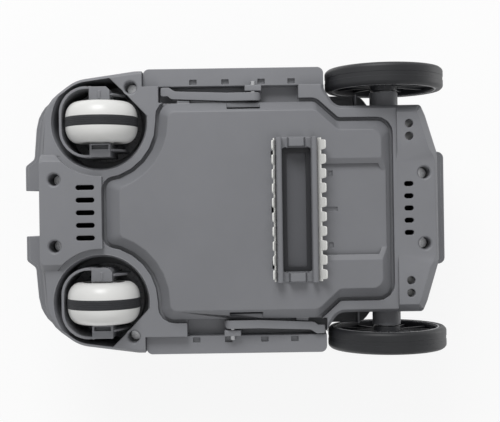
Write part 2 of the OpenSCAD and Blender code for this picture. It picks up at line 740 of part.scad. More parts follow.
module wheel_tyre_left() {
    w = wheel_in + tyre_w;
    sh = 4;
    color(dark) translate([0, wheel_y, wheel_r]) turned_x([[rim_r, wheel_in + 3.5], [rim_r - 1.5, wheel_in + 3.5],
        [rim_r - 1.5, wheel_in + 0.8], [rim_r - 0.5, wheel_in],
        for (a = [-90:18:0]) [wheel_r - sh + sh * cos(a), wheel_in + sh + sh * sin(a)],
        for (a = [0:18:90]) [wheel_r - sh + sh * cos(a), w - sh + sh * sin(a)],
        [rim_r - 0.5, w], [rim_r - 1.5, w - 0.8], [rim_r - 1.5, w - 3.5], [rim_r, w - 3.5]]);
}

module wheel_tyre_right() {
    mirror([1, 0, 0]) wheel_tyre_left();
}

module hub_cap_left() {
    w = wheel_in + tyre_w;
    color(dark) translate([0, wheel_y, wheel_r]) turned_x([[0, w - 2.4], [15.35, w - 2.4], [15.35, w - 1.55],
        [17.6, w - 1.55], [17.6, w - 0.5], [16, w + 0.5], [9, w + 1.1], [0, w + 1.2]]);
}

module hub_cap_right() {
    mirror([1, 0, 0]) hub_cap_left();
}

// ---- casters --------------------------------------------------------------

// Plan of the hoop round the front of a roller
hoop_c = [[-34.4, -37.8, 26], [34.4, -37.8, 26], [34.4, 8, 0], [-34.4, 8, 0]];

module caster_yoke() {
    x_out = leg_in + leg_t;
    trail = caster_trail;
    leg_h = table_z - roller_r + 13;
    difference() {
        union() {
            translate([0, 0, table_z]) {
                cylinder(r = table_r, h = table_t, $fn = round_fn);
                linear_extrude(table_t) polygon(rounded(hoop_c, 8));
                cylinder(r = 5, h = table_t + cup_t + 9, $fn = round_fn);
            }
            // legs
            for (x = [leg_in, -x_out]) translate([x, trail - leg_half, roller_r - 13]) cube([leg_t, 2 * leg_half, leg_h]);
            // ridge under the plain leg
            translate([leg_in + 1, trail - 1.2, roller_r - 14.2]) cube([leg_t - 5, 2.4, 2]);
            // guards behind the legs
            for (s = [-1, 1]) translate([s * (leg_in + 6), trail + leg_half - 1, 0]) rotate([90, 0, 90])
                translate([0, 0, -1.1]) linear_extrude(2.2)
                    polygon([[0, roller_r - 8], [3, roller_r - 8], [13, roller_r + 8], [13, table_z + 1], [0, table_z + 1]]);
            // hoop
            difference() {
                translate([0, 0, roller_r - 12]) linear_extrude(table_z - roller_r + 13) polygon(rounded(hoop_c, 8));
                translate([0, 0, roller_r - 13]) linear_extrude(table_z - roller_r + 13)
                    polygon(rounded(grown(hoop_c, -2.6), 8));
                translate([-60, trail - leg_half + 2, 0]) cube([120, 60, table_z]);
            }
        }
        // hollow of the plain leg, open at its top corner
        translate([leg_in + 3, trail - leg_half + 3, roller_r + 9])
            cube([leg_t + 2, 2 * leg_half - 6, table_z - roller_r - 14]);
        // window of the slotted leg
        translate([-x_out + 7.5, trail - leg_half + 2, roller_r - 14]) cube([4, 2 * leg_half - 4, 8]);
        // chamfer of the plain leg
        translate([x_out, trail + leg_half, 0]) rotate([0, 0, 45]) translate([-2.5, -2.5, 0]) cube([5, 5, table_z - eps]);
        translate([0, trail, roller_r]) rod_x(roller_axle_d / 2, -x_out - 1, x_out + 1);
        translate([0, trail, roller_r]) rod_x(roller_axle_d / 2 + 3, x_out - 3.2, x_out + 9);
        // lightening holes of the turntable
        for (a = [0:60:300]) rotate([0, 0, a + 30]) translate([27, 0, table_z - 1]) cylinder(r = 5, h = table_t + 2, $fn = 32);
        // groove of the retaining ring
        translate([0, 0, table_z + table_t + cup_t + 3]) difference() {
            cylinder(r = 8, h = 1.5, $fn = round_fn);
            translate([0, 0, -1]) cylinder(r = 4, h = 4, $fn = round_fn);
        }
    }
}

module at_caster(side) {
    translate([side * caster_x, caster_y, 0]) children();
}

module caster_yoke_left() {
    color(grey) at_caster(1) caster_yoke();
}

module caster_yoke_right() {
    color(grey) at_caster(-1) caster_yoke();
}

// Washer and retaining ring that hold the caster's post in the chassis
module caster_washer() {
    z = table_z + table_t + cup_t;
    translate([0, 0, z + clearance + 0.3]) difference() {
        cylinder(r = 10, h = 2.4, $fn = round_fn);
        translate([0, 0, -1]) cylinder(r = 5, h = 5, $fn = round_fn);
    }
    translate([0, 0, z + 3]) difference() {
        cylinder(r = 7, h = 1.4, $fn = round_fn);
        translate([0, 0, -1]) cylinder(r = 4, h = 4, $fn = round_fn);
        translate([0, -1.5, -1]) cube([10, 3, 4]);
    }
}

module caster_washer_left() {
    color(steel) at_caster(1) caster_washer();
}

module caster_washer_right() {
    color(steel) at_caster(-1) caster_washer();
}

module roller_axle() {
    x_out = leg_in + leg_t;
    translate([0, caster_trail, roller_r]) difference() {
        union() {
            rod_x(roller_axle_d / 2, -x_out + 1, x_out + 0.4);
            rod_x(roller_axle_d / 2 + 2, x_out - 3.2, x_out - 1.2);
        }
        translate([x_out - 0.3, -3, -0.6]) cube([2, 6, 1.2]);
    }
}

module roller_axle_left() {
    color(steel) at_caster(1) roller_axle();
}

module roller_axle_right() {
    color(steel) at_caster(-1) roller_axle();
}

// Barrel of the roller: half its outline is a quarter of an ellipse, from the band to the end
module roller_shells() {
    h = roller_w / 2;
    b = band_w / 2;
    r = roller_axle_d / 2 + running;
    core = roller_r - 5;
    end_r = roller_r - 12.5;
    drop = roller_r - 0.6 - end_r;
    translate([0, caster_trail, roller_r]) for (s = [0, 1]) mirror([s, 0, 0])
        turned_x([[r, 0], [core, 0], [core, b], for (a = [0:15:90]) [end_r + drop * cos(a), b + (h - b) * sin(a)],
            [end_r - 2.5, h], [end_r - 4, h - 2], [14, h - 2.6], [11, h], [r, h]]);
}

module roller_shells_left() {
    color(white) at_caster(1) roller_shells();
}

module roller_shells_right() {
    color(white) at_caster(-1) roller_shells();
}

module roller_band() {
    b = band_w / 2;
    core = roller_r - 5;
    translate([0, caster_trail, roller_r]) turned_x([[core, -b], [core, b], [roller_r - 0.6, b], [roller_r, b - 1.4],
        [roller_r, 0.8], [roller_r - 0.8, 0], [roller_r, -0.8], [roller_r, -b + 1.4], [roller_r - 0.6, -b]]);
}

module roller_band_left() {
    color(dark) at_caster(1) roller_band();
}

module roller_band_right() {
    color(dark) at_caster(-1) roller_band();
}

// ---- latches --------------------------------------------------------------

// Plan of a lever: a straight arm that bends outwards to the grip at its free end
lever_end = latch_y - latch_l;
lever_c = [[latch_x, latch_y + 8, 3.5], [latch_x, latch_y - 26, 30], [latch_x + 3, lever_end + 10, 6],
    [latch_x + 6, lever_end + 7, 2], [latch_x + 6, lever_end, 1.5], [latch_x + 6.5 + latch_t, lever_end, 1.5],
    [latch_x + 6.5 + latch_t, lever_end + 8, 3], [latch_x + 2.5 + latch_t, lever_end + 14, 6],
    [latch_x + latch_t, latch_y - 26, 30], [latch_x + latch_t, latch_y + 8, 3.5]];

module latch_lever() {
    difference() {
        intersection() {
            translate([0, 0, latch_z - 10]) linear_extrude(20) polygon(rounded(lever_c));
            // side view: a round hub, and an arm that thins towards its end
            rotate([90, 0, 90]) linear_extrude(side_x) union() {
                translate([latch_y, latch_z]) circle(r = latch_hub_r, $fn = 48);
                polygon([[latch_y, latch_z - latch_hub_r], [latch_y, latch_z + latch_hub_r],
                    [latch_y - 10, latch_z + latch_h / 2 - 1], [latch_y - latch_l - 1, latch_z + latch_h / 2 - 1],
                    [latch_y - latch_l - 1, latch_z + 1], [latch_y - 55, latch_z - 3]]);
            }
        }
        translate([0, latch_y, latch_z]) {
            rod_x(latch_pin_d / 2 + running, latch_x - 1, latch_x + latch_t + 1);
            rod_x(latch_pin_d / 2 + 2.2, latch_x - 1, latch_x + 1.8);
        }
    }
}

module latch_left() {
    color(grey) latch_lever();
}

module latch_right() {
    color(grey) translate([0, 2 * latch_mid_y, 0]) rotate([0, 0, 180]) latch_lever();
}

module latch_pin() {
    translate([0, latch_y, latch_z]) {
        rod_x(latch_pin_d / 2 + 1.9, latch_x + 0.3, latch_x + 1.5);
        rod_x(latch_pin_d / 2, latch_x + 0.3, panel_in + 3.5);
    }
}

module latch_pin_left() {
    color(steel) latch_pin();
}

module latch_pin_right() {
    color(steel) translate([0, 2 * latch_mid_y, 0]) rotate([0, 0, 180]) latch_pin();
}

// ---- pump -----------------------------------------------------------------

module motor_can() {
    r = motor_d / 2;
    color(grey) translate([0, 0, motor_z]) difference() {
        union() {
            rotate_extrude($fn = 96) polygon([[0, 0], [r - 7, 0], [r - 2, 2.5], [r, 6], [r, motor_h - 5],
                [r - 2, motor_h - 1.5], [r - 5, motor_h], [0, motor_h]]);
            for (a = [0:30:330]) rotate([0, 0, a]) translate([r - 1, -1.2, 8]) cube([2.6, 2.4, motor_h - 15]);
        }
        translate([0, 0, motor_h - 9]) cylinder(r = 4 + running, h = 12, $fn = round_fn);
        translate([0, 0, motor_h - 2]) cylinder(r = 9, h = 12, $fn = round_fn);
    }
}

// Bridge over the bag that carries the pump
module motor_bracket() {
    w = 26;
    t = 3;
    color(grey) difference() {
        union() {
            rotate([90, 0, 0]) translate([0, 0, -w]) linear_extrude(2 * w) polygon(rounded([
                [bracket_x + 10, foot_z, 1], [bracket_x + 10, foot_z + t, 1], [bracket_x, foot_z + t, 2],
                [bracket_x - 5, bracket_z + t, 8], [-bracket_x + 5, bracket_z + t, 8], [-bracket_x, foot_z + t, 2],
                [-bracket_x - 10, foot_z + t, 1], [-bracket_x - 10, foot_z, 1], [t - bracket_x, foot_z, 1],
                [5 + t - bracket_x, bracket_z, 5], [bracket_x - 5 - t, bracket_z, 5], [bracket_x - t, foot_z, 1]]));
            // ring under the can
            translate([0, 0, bracket_z]) cylinder(r = motor_d / 2 - 8.5, h = 3, $fn = round_fn);
        }
        translate([0, 0, bracket_z - 1]) cylinder(r = motor_d / 2 - 16, h = 10, $fn = round_fn);
        sides() for (y = bracket_holes) translate([bracket_x + 6, y, foot_z - 1]) cylinder(r = 2.3, h = 6, $fn = 24);
        // weight saving windows
        sides() translate([66, 0, bracket_z - 1]) slot(34, 16, 0, 6);
    }
}

module bracket_screws() {
    color(steel) sides() for (y = bracket_holes) translate([bracket_x + 6, y, foot_z + 3]) {
        cylinder(r = 3.8, h = 2, $fn = 24);
        translate([0, 0, -8]) cylinder(r = 2, h = 9, $fn = 24);
    }
}

// Pump housing over the motor, with the box of the jet valve on top
module valve_box() {
    in = impeller_d / 2 + 1;
    r = in + valve_t;
    throat = vane_r - 0.5;
    color(grey) difference() {
        union() {
            translate([0, 0, pump_z]) rotate_extrude($fn = 96) polygon([[0, 7], [r, 7], [r, pump_h - 8],
                [throat + valve_t + 4, pump_h], [0, pump_h]]);
            for (a = [45:90:315]) rotate([0, 0, a]) translate([in, -5, pump_z]) cube([r - in - 0.4, 10, 9]);
            translate([-valve_x, -valve_y, valve_z - 1]) cube([2 * valve_x, 2 * valve_y, valve_top - valve_z + 1]);
        }
        // impeller chamber, which narrows to the throat
        translate([0, 0, pump_z]) rotate_extrude($fn = 96) polygon([[0, -1], [in, -1], [in, pump_h - 8], [throat, pump_h - 1],
            [throat, pump_h + valve_t + 1], [0, pump_h + valve_t + 1]]);
        translate([-valve_x + valve_t, -valve_y + valve_t, valve_z + valve_t])
            cube([2 * (valve_x - valve_t), 2 * (valve_y - valve_t), valve_top - valve_z - 2 * valve_t]);
        // ports of both ducts
        for (s = [0, 1]) mirror([0, s, 0]) translate([0, valve_y - valve_t, vane_z]) rotate([-90, 0, 0])
            translate([0, 0, -1]) cylinder(r = min(duct_d / 2, vane_r - 1.5), h = valve_t + 2, $fn = round_fn);
        translate([0, 0, vane_z]) rod_x(2, -valve_x - 1, valve_x + 1);
    }
}

// Line of a duct: out of the valve box, down along the hood and level at the nozzle
module duct_line(r, bend, end, extra) {
    run = bend - valve_y;
    drop = vane_z - outlet_z;
    translate([0, valve_y, vane_z]) rotate([-90 - atan(drop / run), 0, 0]) translate([0, 0, -20])
        cylinder(r = r, h = norm([run, drop]) + 20, $fn = round_fn);
    translate([0, bend, outlet_z]) sphere(r = r + 0.6, $fn = round_fn);
    translate([0, bend, outlet_z]) rotate([-90, 0, 0]) cylinder(r = r, h = end - bend + extra, $fn = round_fn);
}

module duct(bend) {
    end = bend + nozzle_seat;
    difference() {
        union() {
            duct_line(duct_d / 2 + duct_t, bend, end, 0);
            translate([0, valve_y, vane_z]) rotate([-90, 0, 0]) cylinder(r = duct_d / 2 + 5, h = 3, $fn = round_fn);
        }
        duct_line(duct_d / 2, bend, end, 1);
        translate([-40, valve_y - 60, 0]) cube([80, 60, 300]);
        translate([-40, end, 0]) cube([80, 60, 300]);
    }
}

module front_duct() {
    color(dark) mirror([0, 1, 0]) duct(front_bend);
}

module rear_duct() {
    color(dark) duct(rear_bend);
}

// Nozzle that is pushed over the end of a duct
module nozzle(bend, l) {
    r = duct_d / 2 + duct_t;
    translate([0, bend + nozzle_seat - 6, outlet_z]) rotate([-90, 0, 0]) rotate_extrude($fn = round_fn) polygon([[r, 0], [r + 2, 0], [r + 2, 5], [r + 2.6, 6.5],
        [r + 2.6, l + 5.2], [r + 1.6, l + 6], [nozzle_d / 2 + 0.6, l + 6], [nozzle_d / 2, l + 5], [nozzle_d / 2, 6 + 0.5], [r, 6 + 0.5]]);
}

module front_nozzle() {
    color(dark) mirror([0, 1, 0]) nozzle(front_bend, 2);
}

module rear_nozzle() {
    color(dark) nozzle(rear_bend, 14);
}

module impeller() {
    hub = 9;
    color(dark) translate([0, 0, pump_z + 2]) difference() {
        union() {
            rotate_extrude($fn = 64) polygon([[0, 0], [hub, 0], [hub, 7], [hub - 2, 9.5], [0, 10]]);
            for (a = [0:90:270]) rotate([0, 0, a]) translate([0, 0, 0.6]) linear_extrude(7, twist = -38, slices = 5)
                translate([hub - 1.5, -0.9]) square([impeller_d / 2 - hub + 1.5, 1.8]);
        }
        translate([0, 0, -1]) cylinder(r = 4, h = 8, $fn = round_fn);
    }
}

module motor_shaft() {
    color(steel) translate([0, 0, pump_z - 8.5]) cylinder(r = 4, h = 17.5, $fn = round_fn);
}

// Rotary vane that shuts the port of one duct or the other
module diverter_flap() {
    w = valve_x - valve_t - 0.6;
    color(white) translate([0, 0, vane_z]) difference() {
        union() {
            intersection() {
                difference() {
                    rod_x(vane_r, -w, w);
                    rod_x(vane_r - 1.8, -w - 1, w + 1);
                }
                rotate([90, 0, 90]) translate([0, 0, -w]) linear_extrude(2 * w)
                    polygon([[0, 0], for (a = [-57:19:57]) 40 * [cos(a), sin(a)]]);
            }
            sides() intersection() {
                rod_x(vane_r, w - 2, w);
                rotate([90, 0, 90]) linear_extrude(w + 1) polygon([[-6, -5], [4, -30], [40, -30], [40, 30], [4, 30], [-6, 5]]);
            }
        }
        rod_x(2 + running, -w - 1, w + 1);
    }
}

module diverter_pin() {
    color(steel) translate([0, 0, vane_z]) {
        rod_x(2, -valve_x - 1, valve_x);
        rod_x(3.6, valve_x, valve_x + 1.4);
        rod_x(3.6, -valve_x - 1.4, -valve_x);
    }
}

// ---- bottom lid -----------------------------------------------------------

// Outline of the mouth, grown by d
module mouth_prism(d, z0, z1, r = 4) {
    l = mouth_l / 2 + d;
    w = mouth_w / 2 + d;
    translate([0, mouth_y, z0]) linear_extrude(z1 - z0) polygon(rounded([[-l, -w, r], [l, -w, r], [l, w, r], [-l, w, r]]));
}

module bottom_lid() {
    low = lid_top - lid_edge;
    n = corner_n;
    color(grey) difference() {
        union() {
            shell([ring(lid_c, 0, lid_top), ring(lid_c, 0, low), ring(face_c, 0.9, lid_face + 0.9), ring(face_c, 0, lid_face)],
                [ring(lid_c, -wall, lid_top), ring(lid_c, -wall, low + 1.4), ring(face_c, -wall, lid_face + wall)]);
            // rim that the bag is drawn over
            difference() {
                prism(lid_c, -rib_in, low - 4, lid_top + 5);
                prism(lid_c, -rib_in - rib_t, 0, lid_top + 6);
            }
            // frame of the mouth, and the tongues at its ends
            mouth_prism(rail_w + 4, lid_face - 1.6, lid_face + wall + 2, 8);
            sides() translate([mouth_l / 2 + tongue_l / 2, mouth_y, 0]) hull() {
                translate([-tongue_l / 2, -9, lid_face]) cube([tongue_l, 18, 1]);
                translate([-tongue_l / 2 + 1, -7, rail_z + 1]) cube([tongue_l - 2, 14, 1]);
            }
            // floor of the valley
            translate([-50, mouth_y + 20, lid_face + valley]) cube([100, lid_y1 - mouth_y - 24, wall]);
            // sockets of the bag's hoops
            for (p = bag_posts) translate([p[0], p[1], lid_face + 1]) cylinder(r = 6.5, h = 15, $fn = 32);
            // ears over the latches
            latch_sides() intersection() {
                translate([lid_x - 6, ear_y - 6, low]) cube([latch_x + 9 - lid_x + 6, 12, ear_z + 4 - low]);
                rotate([90, 0, 0]) translate([0, 0, -lid_y1]) linear_extrude(2 * lid_y1)
                    polygon([[lid_x - 6, low], [lid_x + 0.3, low], [lid_x + 3.3, low + 3.4], [lid_x + 3.3, ear_z],
                        [latch_x + 9, ear_z], [latch_x + 9, ear_z + 3], [lid_x + 0.9, ear_z + 3], [lid_x + 0.9, lid_top], [lid_x - 6, lid_top]]);
            }
        }
        // mouth
        mouth_prism(0, 0, lid_top, 2);
        // valley towards the tail
        hull() {
            translate([-37, mouth_y + 20, lid_face + valley - 1]) cube([74, lid_y1 - mouth_y - 14, 1]);
            translate([-49, mouth_y + 23, lid_face - 1]) cube([98, lid_y1 - mouth_y - 17, 1]);
        }
        // grips in both borders
        sides() translate([lid_x - 7, -6, 0]) cube([20, 32, lid_top - 5.4]);
        for (p = bag_posts) translate([p[0] - hoop_d / 2 - clearance, p[1] - hoop_w / 2 - clearance, lid_face + wall + 2])
            cube([hoop_d + 2 * clearance, hoop_w + 2 * clearance, 16]);
        // recesses in the floor of the valley
        for (p = rest_slots) translate([p[0] - p[1] / 2, mouth_y + 33 - p[2] / 2, lid_face]) cube([p[1], p[2], valley + 1.8]);
        // windows of the rail clips
        for (x = clip_x) {
            translate([x - 3.5, mouth_y - mouth_w / 2 - rail_w - 4.4, 0]) cube([7, 3.6, lid_top]);
        }
    }
}

// Throat over the mouth, with the seat of the check flap
module intake_duct() {
    color(dark) difference() {
        mouth_prism(2.4, lid_face + wall + 2, throat_top, 3);
        mouth_prism(-4.6, lid_face, flap_z, 2);
        mouth_prism(-1.4, flap_z - clearance, throat_top + 1, 2);
        flap_axis() {
            rod_x(flap_pin_r, -mouth_l, mouth_l);
            rod_x(norm([2, flap_t + 0.4]) + clearance, 1.4 - mouth_l / 2, mouth_l / 2 - 1.4);
        }
    }
}

module rail(s) {
    l = rail_half;
    translate([0, mouth_y + s * (rail_y + 0.01 * s), 0]) difference() {
        union() {
            // bar with a rounded lower edge
            translate([-l, 0, 0]) rotate([90, 0, 90]) linear_extrude(2 * l) polygon(rounded([[-rail_w / 2, rail_z, 2],
                [rail_w / 2, rail_z, 2], [rail_w / 2, lid_face - 1.61, 0.4], [-rail_w / 2, lid_face - 1.61, 0.4]]));
        }
        for (x = [-l + 8:(2 * l - 16) / 9:l - 7]) translate([x - 4.5, s > 0 ? -rail_w : 0, rail_z + 3.5]) cube([9, rail_w, 2]);
    }
}

module front_rail() {
    color(grey) rail(-1);
}

module rear_rail() {
    color(grey) rail(1);
}

// Scalloped strip that leans away from the mouth
module wiper(s, splay) {
    pitch = 2 * (rail_half - 1) / tooth_count;
    h = lid_face - 1.6 - wiper_z;
    w = pitch * 0.62;
    module strip() {
        linear_extrude(wiper_t, center = true) union() {
            translate([-rail_half + 1, 0]) square([2 * rail_half - 2, h - 8]);
            for (i = [0:tooth_count - 1]) translate([-rail_half + 1 + (i + 0.5) * pitch, h - 8.5])
                polygon(rounded([[-w / 2 - 0.8, 0, 0.2], [w / 2 + 0.8, 0, 0.2], [w / 2, 8.5, 2], [-w / 2, 8.5, 2]]));
        }
    }
    translate([0, mouth_y + s * (rail_y + rail_w / 2 + wiper_t / 2 / cos(splay) + 0.3), lid_face - 1.6])
        difference() {
            rotate([s * splay - 90, 0, 0]) strip();
            translate([-100, -50, 0]) cube([200, 100, 20]);
        }
}

module front_wiper() {
    color(white) wiper(-1, front_splay);
}

module rear_wiper() {
    color(white) wiper(1, rear_splay);
}

// Two moulded hoops that hold the bag up
module bag_frame() {
    h = hoop_d / 2;
    z0 = lid_face + wall + 2;
    color(white) for (y = bag_y) translate([0, y + hoop_w / 2, 0]) rotate([90, 0, 0]) linear_extrude(hoop_w)
        polygon(rounded([[hoop_x + h, z0, 0.4], [hoop_x + h, hoop_z + h, 16], [-hoop_x - h, hoop_z + h, 16],
            [-hoop_x - h, z0, 0.4], [h - hoop_x, z0, 0.4], [h - hoop_x, hoop_z - h, 12], [hoop_x - h, hoop_z - h, 12],
            [hoop_x - h, z0, 0.4]], 6));
}

// Bag: its hem lies inside the rim of the lid, its top on the hoops
module filter_bag() {
    d = -rib_in - rib_t - clearance;
    t = 1.2;
    hem = lid_top - 1;
    steps = [[hem, 0], [lid_top + 6, 0], [lid_top + 14, 0], [hoop_z - 26, 0], [hoop_z - 10, -3], [hoop_z, -11], [hoop_z + hoop_d / 2 + 1.5, -26]];
    color(white) difference() {
        shell([for (s = steps) ring(lid_c, d + s[1], s[0])],
            [for (i = [0:len(steps) - 1]) ring(lid_c, d - t + steps[i][1], steps[i][0] - (i > 3 ? t : 0))]);
    }
}

module intake_flap() {
    l = mouth_l / 2 - 2.2;
    w = mouth_w - 4.6;
    color(grey) translate([0, mouth_y - mouth_w / 2 + 2.3, flap_z]) difference() {
        union() {
            translate([-l, 0, 0]) cube([2 * l, w, flap_t]);
            for (x = [-40, 0, 40]) translate([x - 6, w - 4, 0]) cube([12, 4, flap_t + 2.4]);
            for (x = [-l + 2, -20, 18, l - 4]) translate([x, 2, 0]) cube([2, w - 4, flap_t + 1]);
        }
        translate([0, w - 2, flap_t + 0.4]) rod_x(flap_pin_r + running, -l - 1, l + 1);
    }
}

module flap_axis() {
    translate([0, mouth_y + mouth_w / 2 - 2.3 - 2, flap_z + flap_t + 0.4]) children();
}

module flap_pin() {
    l = mouth_l / 2 + 2;
    color(steel) flap_axis() rod_x(flap_pin_r, -l, l);
}

chassis_pan();
hood();
side_panel_left();
side_panel_right();
lid_gasket();
hood_screws();
carry_handle();
handle_screws();
cable_gland();
gland_nut();
stub_axle_left();
stub_axle_right();
axle_screws();
latch_pin_left();
latch_pin_right();
motor_can();
motor_bracket();
bracket_screws();
valve_box();
front_duct();
rear_duct();
front_nozzle();
rear_nozzle();
impeller();
motor_shaft();
diverter_flap();
diverter_pin();
bottom_lid();
intake_duct();
front_rail();
rear_rail();
front_wiper();
rear_wiper();
bag_frame();
filter_bag();
intake_flap();
flap_pin();
latch_left();
latch_right();
wheel_rim_left();
wheel_rim_right();
wheel_tyre_left();
wheel_tyre_right();
hub_cap_left();
hub_cap_right();
caster_yoke_left();
caster_yoke_right();
caster_washer_left();
caster_washer_right();
roller_axle_left();
roller_axle_right();
roller_shells_left();
roller_shells_right();
roller_band_left();
roller_band_right();
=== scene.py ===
# %% [markdown]
# # A pool cleaner in Blender
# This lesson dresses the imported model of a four-wheeled pool cleaner. The machine stands on its
# wheels with its nose towards -Y. The main view looks straight up at its underside, because that
# is where the working parts are: the bottom lid, the suction mouth, the two casters and the
# latches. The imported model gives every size, so pieces are placed from it and never by eye.

# %% Load the frame
import json
import math
import bpy
import bmesh
from mathutils import Matrix, Vector
from mathutils.bvhtree import BVHTree


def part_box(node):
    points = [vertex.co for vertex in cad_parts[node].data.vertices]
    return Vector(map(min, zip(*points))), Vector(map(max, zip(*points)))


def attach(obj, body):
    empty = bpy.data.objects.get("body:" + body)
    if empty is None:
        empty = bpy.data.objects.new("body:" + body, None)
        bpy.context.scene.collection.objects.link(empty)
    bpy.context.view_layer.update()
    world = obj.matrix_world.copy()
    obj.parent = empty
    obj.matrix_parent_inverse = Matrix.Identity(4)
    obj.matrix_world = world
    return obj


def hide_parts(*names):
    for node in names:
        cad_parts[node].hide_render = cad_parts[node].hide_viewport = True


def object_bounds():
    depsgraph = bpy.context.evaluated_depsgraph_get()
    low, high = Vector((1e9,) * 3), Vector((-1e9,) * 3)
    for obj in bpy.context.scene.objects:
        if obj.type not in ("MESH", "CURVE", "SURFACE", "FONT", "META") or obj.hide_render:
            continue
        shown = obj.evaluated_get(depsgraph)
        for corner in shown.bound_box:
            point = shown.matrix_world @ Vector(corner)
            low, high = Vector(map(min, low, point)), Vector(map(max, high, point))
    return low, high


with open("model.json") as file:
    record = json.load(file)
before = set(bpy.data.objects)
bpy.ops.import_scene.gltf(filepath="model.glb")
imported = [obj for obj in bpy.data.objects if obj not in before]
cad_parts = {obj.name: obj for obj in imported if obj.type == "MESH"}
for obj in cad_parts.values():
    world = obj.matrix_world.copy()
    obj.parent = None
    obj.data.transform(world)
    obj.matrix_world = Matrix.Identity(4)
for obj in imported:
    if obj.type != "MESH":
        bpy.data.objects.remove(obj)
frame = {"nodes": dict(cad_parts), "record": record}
cad_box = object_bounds()
nodes = frame["nodes"]
body_of = {n: b for b, members in frame["record"]["behaviour"]["bodies"].items() for n in members}
slot_of = {s["node"]: s["material_slot"] for s in frame["record"]["subparts"]}
mm = 0.001

# %% [markdown]
# ## Camera
# A machine's underside can be shown with the object lying on its top or with the camera below it.
# Here the camera goes below, because the frame must not move. A long lens keeps the wheels, which
# stand out towards the camera, from looking swollen.

# %% The camera under the machine
camera_drop = 0.8815
camera_turn = math.radians(0.85)
camera_aim = (-0.0006, 0.015)
lens_share = 1.88  # focal length over the sensor's width
camera_data = bpy.data.cameras.new("camera")
camera_data.sensor_width = 36
camera_data.lens = camera_data.sensor_width * lens_share
camera = bpy.data.objects.new("camera", camera_data)
bpy.context.scene.collection.objects.link(camera)
right = Vector((-math.sin(camera_turn), math.cos(camera_turn), 0))
up = Vector((math.cos(camera_turn), math.sin(camera_turn), 0))
camera.matrix_world = Matrix((right, up, right.cross(up))).transposed().to_4x4()
camera.location = (*camera_aim, -camera_drop)
bpy.context.scene.camera = camera
bpy.context.scene.view_settings.view_transform = "Standard"
print("camera", round(camera_drop, 3), "m under the floor")

# %% [markdown]
# ## Light and stage
# The machine stands on a pale floor. The camera looks up through that floor, so the floor is there
# only for rays that meet its top. A second white sheet lies over the machine's back and is there
# only for rays that come from below. Both are plain planes; a curved studio sweep would do as well,
# but it could not be looked through from one side.

# %% World and lamps
world = bpy.data.worlds.new("studio")
bpy.context.scene.world = world
world.use_nodes = True
tree = world.node_tree
tree.nodes.clear()
out = tree.nodes.new("ShaderNodeOutputWorld")
path = tree.nodes.new("ShaderNodeLightPath")
seen = tree.nodes.new("ShaderNodeMath")
seen.operation = "MAXIMUM"
seen_too = tree.nodes.new("ShaderNodeMath")
seen_too.operation = "MAXIMUM"
soft = tree.nodes.new("ShaderNodeBackground")
soft.inputs["Color"].default_value = (1, 1, 1, 1)
soft.inputs["Strength"].default_value = 0.42
plain = tree.nodes.new("ShaderNodeBackground")
plain.inputs["Color"].default_value = (1, 1, 1, 1)
plain.inputs["Strength"].default_value = 1
mix = tree.nodes.new("ShaderNodeMixShader")
tree.links.new(path.outputs["Is Camera Ray"], seen.inputs[0])
tree.links.new(path.outputs["Is Glossy Ray"], seen.inputs[1])
tree.links.new(seen.outputs[0], seen_too.inputs[0])
tree.links.new(path.outputs["Is Transmission Ray"], seen_too.inputs[1])
tree.links.new(seen_too.outputs[0], mix.inputs["Fac"])
tree.links.new(soft.outputs[0], mix.inputs[1])
tree.links.new(plain.outputs[0], mix.inputs[2])
tree.links.new(mix.outputs[0], out.inputs["Surface"])


def lamp(name, place, aim, width, power):
    """A square soft lamp at place, turned to aim."""
    data = bpy.data.lights.new(name, "AREA")
    data.shape = "SQUARE"
    data.size = width
    data.energy = power
    made = bpy.data.objects.new(name, data)
    bpy.context.scene.collection.objects.link(made)
    made.location = place
    made.rotation_mode = "QUATERNION"
    made.rotation_quaternion = (Vector(aim) - Vector(place)).to_track_quat("-Z", "Y")
    return made


lamp("lamp_below_left", (1.25, -0.25, -0.95), (0, 0, 0.05), 0.7, 17)
lamp("lamp_below_right", (-0.9, 0.3, -1.1), (0, 0, 0.05), 1.1, 4)
lamp("lamp_above_left", (1.1, -0.8, 1.3), (0, 0, 0.1), 0.8, 13)
lamp("lamp_above_right", (-1.3, -0.5, 0.9), (0, 0, 0.1), 1.2, 6)
lamp("lamp_behind", (0.2, 1.5, 0.8), (0, 0, 0.1), 1.0, 6)
print(len(bpy.data.lights), "lamps")


